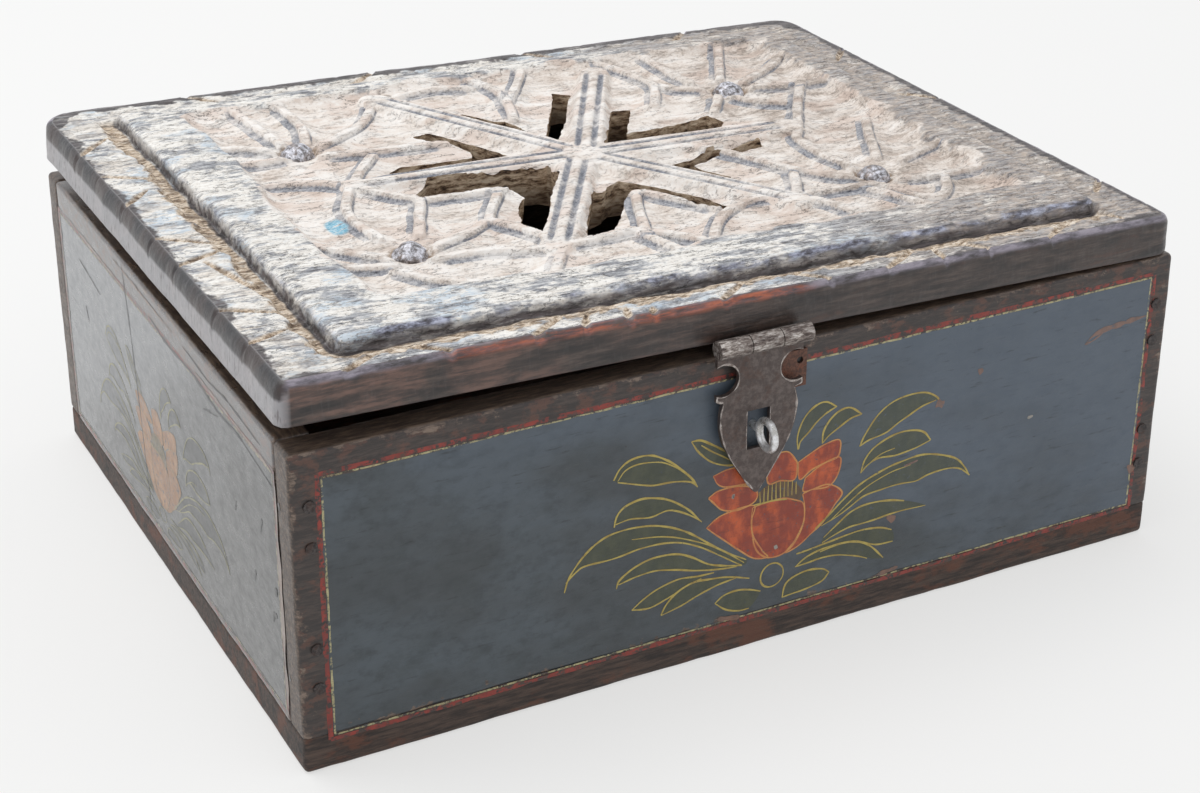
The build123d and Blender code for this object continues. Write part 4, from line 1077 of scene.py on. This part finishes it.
# Painted ornament
# A common folk lotus with leaves, drawn on the front face in millimetres: across and up
LEAVES = [read_lines(leaf, "/") for leaf in """
-52 70.2, -49.8 73.6, -45.9 75.8, -39.8 75.6, -34.2 72.4, -29.2 68, -25.9 64.1, -24 61.1 / -50.7 69.3,
-45.3 67.4, -38.7 65.4, -32 64.7, -26.4 63.3, -24 61.1 / -50.7 69.7, -48.1 72.7, -43.1 73.6, -36.4 72.4,
-30.9 69.1, -26.4 64.7;
-26.4 76.7, -23.1 76.3, -18.7 73.6, -14.2 70.2, -11.1 67.8 / -26.4 76.7, -23.7 72.4, -19.8 68.6, -15.3 66.3,
-10.7 65.1 / -23.1 74.7, -18.7 71.3, -13.1 67.4;
-51.8 54.7, -50.9 58.2, -48.1 60.8, -42.6 61.9, -36.4 60.4, -30.9 57.4, -26.4 53.6, -22.3 48.9 / -51.3 55.6,
-46.4 56.1, -39.8 55, -34.2 55.8, -29.8 54.3, -25.3 51.3, -22.3 48.9;
-68.1 37.1, -66.4 41.9, -62.6 46.9, -57.6 50.8, -52 52.7, -44.2 52.7, -35.3 50.8, -27.6 46.9, -19.8 40.8,
-13.1 35.8, -6.4 31.6 / -67.6 40.2, -64.2 43, -60.9 44.3, -50.9 44.3, -43.1 45.2, -35.3 44.9, -28.7 43.3,
-22 40, -15.3 35.2, -7.8 30 / -45.9 49.1, -35.3 47.3, -27.6 44.4, -19.8 40.2, -13.1 35.6, -7.1 30.8;
-50.9 33.6, -49.8 36.3, -45.3 39.1, -38.7 40.8, -30.9 40.2, -25.3 37.4, -19.8 33.6, -14.2 31.6, -7.8 30 /
-50.3 34.9, -44.2 36, -37.6 36.3, -30.9 34.7, -24.2 32.7, -16.4 30.9, -9.8 30;
-45.7 24.9, -42 27.4, -36.4 30, -29.8 31.1, -23.1 30.4, -17.6 30.1 / -45.7 24.9, -39.8 23.9, -33.7 25.4,
-27.6 27.9, -22 29.3;
-35.7 20.2, -33.7 23.6, -29.8 26.9, -24.2 28.6, -17.6 28, -10.9 26.7, -5 24.7 / -35.7 20.2, -28.7 21.6,
-23.1 23.6, -16.4 25.3, -9.8 26;
10.6 65.2, 10.2 69.1, 11.3 73.6, 13.6 76.9, 16.9 78.9, 20.2 78.9, 23.8 76.6 / 10.6 65.2, 11.3 67.8,
14.1 70.2, 16.9 73, 20.2 75.2, 23.8 76.6;
19.1 65.2, 19.3 69.1, 21.3 72.4, 24.7 74.7, 28.6 75, 33 71.9 / 19.1 65.2, 21.3 67.3, 24.7 69.1, 29.1 71.4,
33 71.9;
32.8 60.8, 34.7 64.7, 39.1 70.2, 44.7 73.6, 51.3 74.4, 56.9 73.6, 60.8 71.1, 62.1 68.4 / 32.8 60.8,
36.3 62.2, 42.4 63.3, 48 66.3, 54.7 69.1, 60.4 70.4;
33.8 51.3, 35.2 55.8, 39.1 59.7, 45.8 61.9, 51.3 61.9, 56.3 60.2, 59.3 56.7 / 33.8 51.3, 36.3 53.6,
40.2 54.9, 46.9 54.4, 53.6 55.2, 59.3 56.7 / 37.4 54.4, 41.3 56.3, 46 57.1;
18 35.8, 22.4 39.1, 28 43.6, 33.6 47.4, 40.2 49.9, 48 51.6, 55.8 52.2, 62.4 50.8, 69.1 48, 73 44.1,
75.4 40.2 / 20.2 36.3, 26.9 38.6, 31.3 40.8, 35.8 43, 42.4 43.6, 49.1 43.8, 54.7 43.3, 59.1 44.4, 65.8 44.9,
71.3 43.6, 75.4 40.2 / 23.6 37.4, 31.3 43, 38 46.7, 45.8 48.9, 52.4 49.7;
21.3 31.9, 25.8 35.2, 31.3 38.6, 38 39.7, 44.7 39.1, 50.8 37.4 / 20.8 30.2, 25.8 31.9, 31.3 33.2, 39.1 33.3,
45.8 33.8, 52.4 33.9, 59.1 33.6;
11.6 28.6, 18 29.1, 28 30.4, 34.7 30.8, 41.3 30.2, 46.7 28 / 20.2 27.1, 28 28, 34.7 26.7, 41.3 24.1,
47.4 23.6;
11.3 24.1, 15.8 26.7, 22.4 28, 30.2 28, 35.8 26.3, 40.2 23, 44.1 18.6 / 11.3 24.1, 15.8 24.4, 21.3 24.7,
26.9 24.1, 32.4 22.4, 38 20;
-17 19.1, -14.2 21, -9.8 21.6, -5.3 20.8, -0.9 18.9 / -17 19.1, -13.1 15.8, -8.7 14.1, -4.8 13.9;
7.1 14.4, 8 18.6, 10.8 20.6, 15.8 21.7, 21.3 20.8, 24 18.9 / 7.1 14.4, 10.2 14.7, 15.8 15.2, 21.3 16.3,
24 18.9
""".split(";")]
PETALS = read_lines("""
-18.7 63.3, -14.2 64.3, -9.8 64.1, -5.3 62.2, -0.9 58.9, -5.3 57.8, -13.1 58.4, -16.8 60;
-0.3 64.1, 3.6 65.4, 7.1 65.1, 9.7 61.9, 10.4 60, 9.7 55.2, 4.7 56, 0.4 56.3;
10.8 60.8, 15.8 63, 20.2 64.7, 25.2 64.9, 25.8 61.3, 24.7 58.9, 20.2 58.2, 15.8 56.9, 11.6 54.7;
-20.1 56.3, -16.4 58, -9.8 57.8, -5.3 56.3, -3.1 53.6, -4.4 50.8, -9.8 49.7, -15.3 51.1, -18.4 54.4;
13.6 54.7, 18 57.2, 21.9 58.6, 25.8 58.9, 26.1 55.8, 24.7 51.9, 21.9 49.7, 16.9 50, 13 50.2;
-20.7 46.3, -16.4 48.9, -9.8 50, -4 49.7, -4.9 44.7, -4.2 39.1, -0.9 33.3, 1.3 30.4, -3.1 31.1, -8.1 34.7,
-14.2 40.2, -18.1 43.8;
13 49.3, 16.9 50, 22.4 50.2, 27.4 46.3, 24.7 42.4, 21.3 38, 16.9 34.7, 12.4 31.6, 7.4 30.2, 10.8 33.6,
13.6 39.1, 13.9 44.7;
-4.7 49.1, 0.2 49.7, 5.8 49.7, 10.8 47.8, 13.3 45.8, 13.9 41.3, 13 36.9, 10.4 32.4, 7.1 30.2, 3.6 29.7,
0.2 30.8, -2.9 34.1, -4.6 39.7, -5 44.7
""")
COMB = read_lines("""
-4.4 50, -2.9 53.3, 0.2 55.6, 4.7 56.4, 9.1 54.7, 11.9 51.9, 12.8 49.1, 10.8 47.2, 7.4 49.1, 3.6 49.7,
-0.9 49.7
""")[0]


def ribbon(points, width, seed, taper=0.35, rough=0.16):
    """Points and faces of a flat brush line in plan, with uneven width and tapered ends."""
    line = curve_through(points, 6 if len(points) > 2 else 30)
    t = np.linspace(0, 1, len(line))
    step = np.gradient(line, axis=0)
    step /= np.maximum(np.hypot(*step.T)[:, None], 1e-9)
    side = np.stack([-step[:, 1], step[:, 0]], 1)
    half = width / 2 * (1 + rough * 2 * noise3(*line.T, 0, 2.6, seed + 5))
    half = half * (1 - taper * (1 - np.clip(np.minimum(t, 1 - t) / 0.12, 0, 1)))
    line = line + side * (0.12 * noise3(*line.T, 0, 5, seed + 9))[:, None]
    m = len(line)
    i = np.arange(m - 1)
    edges = np.concatenate([line + side * half[:, None], line - side * half[:, None]])
    return edges, np.stack([i, i + 1, m + i + 1, m + i], 1)


def patch(outline):
    """Points and triangles of a filled flat outline."""
    line = curve_through(list(outline) + [outline[0]], 4)[:-1]
    m = len(line)
    result = geometry.delaunay_2d_cdt([Vector(p) for p in line], [(i, (i + 1) % m) for i in range(m)], [], 1,
                                      1e-4)
    return np.array([(v.x, v.y) for v in result[0]]), np.array([f for f in result[2] if len(f) == 3])


def on_wall(axis, face, out, across=lambda u: u, up=lambda v: v):
    """Placing of flat drawings on a wall that faces out along an axis, lifted off it by a distance."""
    def place(points, lift):
        columns = [across(points[:, 0]), up(points[:, 1])]
        columns.insert(axis, np.full(len(points), face + out * lift))
        return np.stack(columns, 1)
    return place


def side_height(v):
    """Height on a side face: the drawing is lowered a little, and drawn together under the flower."""
    return 25 + (v - 29.7) * np.where(v > 29.7, 0.97, 0.55)


on_front = on_wall(1, FRONT, -1)
on_left = on_wall(0, -HALF_W, -1, lambda u: 6.5 - (u - 3.5) * 0.93, side_height)
on_right = on_wall(0, HALF_W, 1, lambda u: -6.5 + (u - 3.5) * 0.93, side_height)
WALLS = {"left": on_wall(0, -HALF_W, -1), "right": on_wall(0, HALF_W, 1), "back": on_wall(1, BACK, 1)}


def painting(name, shapes, place, lift, material, body="box"):
    """One piece from many flat shapes, each facing out of what carries it."""
    points, faces, start = [], [], 0
    for number, (flat, cells) in enumerate(shapes):
        world = place(flat, lift + 0.0012 * (number % 8))     # strokes that cross never share a plane
        a, b, c = world[cells[:, 0]], world[cells[:, 1]], world[cells[:, 2]]
        out = np.cross(b - a, c - a) @ (place(flat[:1], 1.0)[0] - place(flat[:1], 0.0)[0]) < 0
        cells = np.where(out[:, None], cells[:, ::-1], cells)
        points.append(world)
        faces.append(cells + start)
        start += len(world)
    make_piece(name, np.concatenate(points), [np.concatenate(faces)], body, material,
               smooth_faces=False)


# First and second colour of each part of the flower, fresh and faded
FLOWER_COLORS = {"leaf": ((60, 65, 45), (74, 77, 52)), "petal": ((140, 54, 32), (200, 90, 42)),
                 "comb": ((78, 58, 42), (98, 74, 48)), "gold": ((184, 164, 84), (156, 132, 64)),
                 "rose": ((212, 150, 80), (196, 118, 62))}
FADED_COLORS = {"leaf": ((84, 86, 70), (92, 92, 76)), "petal": ((152, 98, 40), (178, 122, 60)),
                "comb": ((112, 92, 62), (124, 104, 74)), "gold": ((150, 144, 92), (130, 126, 86)),
                "rose": ((168, 128, 76), (150, 112, 66))}


def circle(x, z, radius):
    turns = np.linspace(0, 2 * math.pi, 24, endpoint=False)
    return [(x + radius * math.cos(a), z + radius * math.sin(a)) for a in turns]


def paint_flower(tag, place, face, fill, petal_share, lines, worn, line_scale, colors=FLOWER_COLORS):
    """All layers of the flower on one face."""
    leaf_fill = stroke_look("leaf_fill_" + tag, face, *colors["leaf"], fill, worn)
    petal_fill = stroke_look("petal_fill_" + tag, face, *colors["petal"], petal_share, worn, tone=5.0)
    comb_fill = stroke_look("comb_fill_" + tag, face, *colors["comb"], petal_share, worn)
    gold = stroke_look("gold_line_" + tag, face, *colors["gold"], lines, worn, size=1.1)
    rose = stroke_look("petal_line_" + tag, face, *colors["rose"], 0.9 * lines, worn, size=1.1)
    leaves, golds = [], []
    for seed, (one, two, *inner) in enumerate(LEAVES):
        closed = one + two[::-1][(0 if two[-1] != one[-1] else 1):]
        leaves.append(patch(closed[:-1] if closed[-1] == closed[0] else closed))
        for n, (line, width) in enumerate(zip([one, two] + inner, (0.64, 0.54, 0.42))):
            golds.append(ribbon(line, width * line_scale, seed=seed + 30 * n))
    painting("leaves_" + tag, leaves, place, 0.015, leaf_fill)
    painting("petals_" + tag, [patch(petal) for petal in PETALS], place, 0.025, petal_fill)
    painting("comb_" + tag, [patch(COMB)], place, 0.035, comb_fill)
    roses = [ribbon(petal + [petal[0]], 0.50 * line_scale, seed=seed + 90)
             for seed, petal in enumerate(PETALS)]
    for x in np.arange(-2.2, 11.6, 1.42):
        half = math.sqrt(max(0.02, 1 - ((x - 4.4) / 8.9) ** 2))
        golds.append(ribbon([(x, 49.9), (x - 0.1, 52.0), (x - 0.15, 50.0 + 6.0 * half)], 0.34 * line_scale,
                            seed=int(x * 7) + 200))
    golds.append(ribbon(COMB[8:] + [COMB[0]], 0.6 * line_scale, seed=150))
    golds.append(ribbon(circle(3.0, 23.6, 4.1) + [(7.1, 23.6)], 0.55 * line_scale, seed=151))
    painting("petal_lines_" + tag, roses, place, 0.045, rose)
    painting("gold_lines_" + tag, golds, place, 0.055, gold)


paint_flower("front", on_front, FRONT_FACE, 0.8, 0.95, 1.0, (0.60, 0.70), 1.0)
paint_flower("left", on_left, LEFT_FACE, 0.06, 0.85, 0.9, (0.52, 0.66), 0.9, FADED_COLORS)
paint_flower("right", on_right, RIGHT_FACE, 0.4, 0.7, 0.7, (0.50, 0.62), 0.85, FADED_COLORS)


def frame_lines(tag, place, face, low_u, high_u, low_v, high_v, slope, opacity, worn):
    """A pale line and a red line round the panel of one face."""
    pale = stroke_look("pale_line_" + tag, face, (190, 180, 134), (158, 148, 108), 0.9 * opacity, worn,
                       size=1.8)
    red = stroke_look("red_line_" + tag, face, (146, 52, 40), (120, 46, 38), opacity, worn, size=2.4)

    def sides(out, width, seed):
        left, right, low, high = low_u - out, high_u + out, low_v - out, high_v + out
        corners = [(u, v + slope * u) for u, v in ((left, low), (right, low), (right, high), (left, high))]
        return [ribbon([corners[n], corners[(n + 1) % 4]], width, taper=0.1, seed=seed + n) for n in range(4)]

    painting("red_lines_" + tag, sides(1.25, 1.5, 300), place, 0.015, red)
    painting("pale_lines_" + tag, sides(0.0, 0.62, 320), place, 0.025, pale)


frame_lines("front", on_front, FRONT_FACE, -140.6, 141.6, 11.8, 94.2, 0.0062, 1.0, (0.45, 0.58))
frame_lines("left", WALLS["left"], LEFT_FACE, *LEFT_FACE[1], 0.0, 0.7, (0.42, 0.56))
frame_lines("right", WALLS["right"], RIGHT_FACE, *RIGHT_FACE[1], 0.0, 0.8, (0.44, 0.58))
frame_lines("back", WALLS["back"], BACK_FACE, *BACK_FACE[1], 0.0, 0.8, (0.44, 0.58))


# Marks of age: cracks, bare wood and stains
MARKS = (
    ("left", WALLS["left"], LEFT_FACE, (
        ("crack", (34, 35, 37), 0.9, """
0.8: 20.4 16, 21.5 30, 23.5 52, 27 80, 30.5 100.5; 1.6: -109.4 27, -109 28.8; 1.5: -100.8 42.6,
-100.2 44.2; 1.3: -102.2 50.6, -101.6 53.2; 1.7: -109.2 81.6, -108.8 83.8; 0.6: -70 62,
-71.5 66; 0.5: -46 84, -60 87.5; 0.5: 60 78, 84 82; 0.6: 78 60, 80.5 66; 0.9: -104 86.5, -78 89.6, -60 89.2,
-38 91.6, -14 91.2, 4 93.4; 0.6: -96 95.5, -70 96.8, -52 95.8, -30 97.4; 0.8: -98 40, -99 44; 0.9: -92 66,
-93.4 71; 0.8: -84 46, -85 50
        """),
        ("bare", (176, 150, 132), 0.5, """
1.6: -106.6 16, -106.2 40, -106.6 88; 0.9: -104 91.5, -40 93.5; 1: 30 92, 96 93; 0.7: -20 97.5, 40 98.5
        """),
    )),
    ("front", on_front, FRONT_FACE, (
        ("bare", (142, 104, 84), 0.75, """
1.3: 117.4 77.4, 121 79.8, 129 81, 141 82; 1: 117 77, 120 77.6, 124 79.4; 1.5: 75.8 76.2,
77.6 76.9; 2.6: 60.6 69.2, 63.4 68; 2.6: 140.2 27.6, 143 25.2; 1.6: 44.6 33.4, 47.6 31.2; 1.3: 50 49.6,
55 50.6; 1.6: -16 13, -8 11.8; 1.2: 40 12.6, 50 13.6
        """),
        ("fleck", (168, 160, 148), 0.8, """
0.8: 96.6 55.6, 98.8 55.9; 1.6: 3.4 33, 4.6 33.4; 1.1: -12.2 54.8, -11.2 54.6
        """),
    )),
)
for tag, place, face, kinds in MARKS:
    for kind, color, share, text in kinds:
        strokes = [stroke.split(":") for stroke in text.split(";")]
        look = stroke_look("%s_%s" % (kind, tag), face, color, tuple(int(c * 0.82) for c in color), share,
                           (0.56, 0.68), size=1.3)
        shapes = [ribbon(read_line(points), float(width), taper=0.7, rough=0.45, seed=400 + n)
                  for n, (width, points) in enumerate(strokes)]
        painting("%s_%s" % (kind, tag), shapes, place, 0.065, look)


# Ironwork
iron = iron_look("dark_iron", (52, 44, 42), (96, 86, 82), (104, 66, 48))
HASP_X, HASP_FACE = -6.0, -121.2
HASP_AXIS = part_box("hasp_plate")[1][2] / MM - 2.9
# the hasp's upper part, above a height under its axis, is scraped bright and painted with a highlight
hasp_iron = iron_look("hasp_iron", (80, 71, 68), (108, 98, 94), (98, 72, 60), (0.34, 0.5), 0.35, 0.55, 2.2,
                      HASP_AXIS - 3.2)
barrel_iron = iron_look("barrel_iron", (70, 62, 60), (112, 102, 98), (98, 72, 60), (0.34, 0.5), 0.35, 0.55,
                        1.4, HASP_AXIS - 3.2)
nail_iron = iron_look("nail_iron", (40, 36, 36), (92, 86, 84), (92, 62, 48), (0.4, 0.7), 0.4, 0.4)
bright = iron_look("worn_bright_iron", (186, 184, 180), (244, 244, 246), (130, 104, 78), (0.2, 0.42), 0.15,
                   0.6, 2.6)


def dress(node, material):
    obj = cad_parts[node]
    for index in range(len(obj.material_slots)):
        obj.material_slots[index].material = material
    if not obj.material_slots:
        obj.data.materials.append(material)


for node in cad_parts:
    if node.endswith(("nail", "nails")):
        dress(node, nail_iron)
    elif node.startswith("hinge"):
        dress(node, iron)
dress("patch_plate", iron_look("rusty_iron", (78, 56, 48), (116, 82, 68), (126, 76, 56), rust_share=0.8))
dress("hasp_leaf", barrel_iron)
dress("hasp_pin", barrel_iron)
dress("hasp_plate", hasp_iron)
dress("eye_pin", bright)


def hasp_rim(sign):
    """Lines just inside one side of the hasp's outline, across and down from its axis."""
    turn = np.linspace(1.10, 2 * math.pi - 1.10, 14)
    notch = [(sign * (12.2 + 5.25 * math.cos(a)), -10.9 + 5.25 * math.sin(a)) for a in turn]
    lower = read_lines("""
14.3 -15.8, 14.3 -17.2, 12.2 -17.9; 12 -18.2, 12.9 -22, 12.95 -25.5, 12.2 -29.5, 11 -33.2;
11 -33.2, 9.2 -37, 6.6 -41.3, 3.9 -45.6, 1.2 -49.2; 4 -22.6, 4 -35.3
    """)
    return [notch] + [[(sign * u, v) for u, v in line] for line in lower]


on_hasp = on_wall(1, HASP_FACE, -1, lambda u: HASP_X + u, lambda v: HASP_AXIS + v)
rim_iron = iron_look("hasp_rim_iron", (128, 118, 112), (196, 188, 182), (110, 84, 70), (0.28, 0.42), 0.3,
                     0.6, 0.8)
rims = [ribbon(line, 0.36, taper=0.6, rough=0.7, seed=500 + 10 * side + n)
        for side, sign in enumerate((-1, 1)) for n, line in enumerate(hasp_rim(sign))]
painting("hasp_worn_rim", rims, on_hasp, 0.03, rim_iron, body="hasp")
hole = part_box("patch_plate")
hole_place = (hole[1][0] / MM - 2.4, hole[1][2] / MM - 3.4)
# painted shade: a near-black disc on the board behind the patch plate's hole
painting("patch_hole_shade", [patch(circle(*hole_place, 1.25))], on_front, 0.075,
         stroke_look("nail_hole_shade", FRONT_FACE, (16, 15, 15), (22, 20, 19), 1.0, (0.9, 0.95)))


STUD_RADIUS, STUD_HEIGHT = 5.6, 4.7


def make_stud(name, x, y, seed):
    """Hand-forged domed nail head in its small pit."""
    rings, around = 14, 36
    points = []
    for i in range(rings + 1):
        t = i / rings * math.pi / 2
        for j in range(around):
            a = 2 * math.pi * j / around
            r = STUD_RADIUS * math.sin(t)
            h = STUD_HEIGHT * math.cos(t) ** 1.25
            px, py = math.cos(a) * r, math.sin(a) * r
            n = float(fractal(np.array([px + x]), np.array([py + y]), np.array([h * 2.0]), 2.6, seed, 3)[0])
            grow = 1 + 0.17 * n
            z = FIELD_FLOOR - 0.35 + h * grow - 0.5 * max(0, n) * math.cos(t)
            points.append((x + px * grow, y + py * grow, z))
    for j in range(around):
        a = 2 * math.pi * j / around
        inner = STUD_RADIUS - 0.4
        points.append((x + inner * math.cos(a), y + inner * math.sin(a), FIELD_FLOOR - 2.0))
    make_piece("detail_" + name, points, tube(rings + 2, around), "lid", stud_iron,
               replaces=(name,), placed=lid_place)


stud_iron = iron_look("stud_iron", (104, 100, 100), (232, 232, 240), (134, 112, 94), (0.24, 0.5), 0.55, 0.6,
                      1.5)
for place, (x, y) in NAILS.items():
    make_stud("stud_" + place, x, y, 7 + len(place))


# Stage, light and camera
SHOWN_SHARE = 0.6       # how much of the floor's tone is shown as it is; the rest is lit, for the shadow
FLOOR_SIZE = 6.0
SKY_STRENGTH = 0.78


def seen_directly(tree):
    """1 for what the camera, a reflection or a clear part shows, and 0 for light on the object."""
    rays = tree.made("ShaderNodeLightPath").socket.node.outputs
    total = Value(tree, rays["Is Camera Ray"])
    for name in ("Is Glossy Ray", "Is Transmission Ray"):
        total = tree.math("ADD", total, Value(tree, rays[name]), use_clamp=True)
    return total


def make_stage():
    half = FLOOR_SIZE / 2
    mesh = bpy.data.meshes.new("floor")
    mesh.from_pydata([(-half, -half, 0), (half, -half, 0), (half, half, 0), (-half, half, 0)], [],
                     [(0, 1, 2, 3)])
    floor = bpy.data.objects.new("floor", mesh)
    bpy.context.collection.objects.link(floor)
    material = bpy.data.materials.new("floor_pale")
    tree = Tree(material)
    lit = tree.made("ShaderNodeBsdfDiffuse", {"Color": (0.86, 0.857, 0.852, 1)})
    shown = tree.made("ShaderNodeEmission", {"Color": (0.985, 0.98, 0.965, 1)})
    mixed = tree.made("ShaderNodeMixShader", (seen_directly(tree) * SHOWN_SHARE, lit, shown))
    tree.made("ShaderNodeOutputMaterial", (mixed,))
    mesh.materials.append(material)


def make_world():
    world = bpy.data.worlds.new("studio")
    bpy.context.scene.world = world
    tree = Tree(world)
    lit = tree.made("ShaderNodeBackground", {"Color": (0.95, 0.97, 1.0, 1), "Strength": SKY_STRENGTH})
    shown = tree.made("ShaderNodeBackground", {"Color": (0.95, 0.965, 0.99, 1), "Strength": 1.0})
    mixed = tree.made("ShaderNodeMixShader", (seen_directly(tree), lit, shown))
    tree.made("ShaderNodeOutputWorld", (mixed,))


def make_lamp(name, place, target, size, power):
    data = bpy.data.lights.new(name, "AREA")
    data.shape, data.size, data.energy = "SQUARE", size, power
    lamp = bpy.data.objects.new(name, data)
    lamp.location = place
    lamp.rotation_euler = (Vector(target) - Vector(place)).to_track_quat("-Z", "Y").to_euler()
    bpy.context.collection.objects.link(lamp)


# Camera fitted to the edges of the box: turns in degrees, place in millimetres, lens in pixels
AZIMUTH, ELEVATION, ROLL = (math.radians(a) for a in (-27.682, 24.802, 0.216))
CAMERA_PLACE = (-325.92, -632.12, 390.8)
FRAME_WIDTH, FOCAL_LENGTH, MIDDLE = 1200.0, 2307.0, ((602.2, 600.0), (319.2, 396.5))
SENSOR = 36.0


def make_camera():
    flat = math.cos(ELEVATION)
    back = Vector((math.sin(AZIMUTH) * flat, -math.cos(AZIMUTH) * flat, math.sin(ELEVATION)))
    right = Vector((0, 0, 1)).cross(back).normalized()
    up = back.cross(right)
    turned_right = math.cos(ROLL) * right + math.sin(ROLL) * up
    turned_up = -math.sin(ROLL) * right + math.cos(ROLL) * up
    data = bpy.data.cameras.new("camera")
    data.sensor_width = SENSOR
    data.lens = FOCAL_LENGTH / FRAME_WIDTH * SENSOR
    data.shift_x = -(MIDDLE[0][0] - MIDDLE[0][1]) / FRAME_WIDTH
    data.shift_y = (MIDDLE[1][0] - MIDDLE[1][1]) / FRAME_WIDTH
    data.clip_start, data.clip_end = 0.05, 20.0
    camera = bpy.data.objects.new("camera", data)
    turn = Matrix((turned_right, turned_up, back)).transposed()
    camera.matrix_world = Matrix.Translation(Vector(CAMERA_PLACE) * MM) @ turn.to_4x4()
    bpy.context.collection.objects.link(camera)
    bpy.context.scene.camera = camera


bpy.context.scene.view_settings.view_transform = "Standard"
make_stage()
make_world()
make_lamp("key", (-0.5, 0.45, 1.5), (0, 0, 0.08), 1.1, 9)
make_camera()
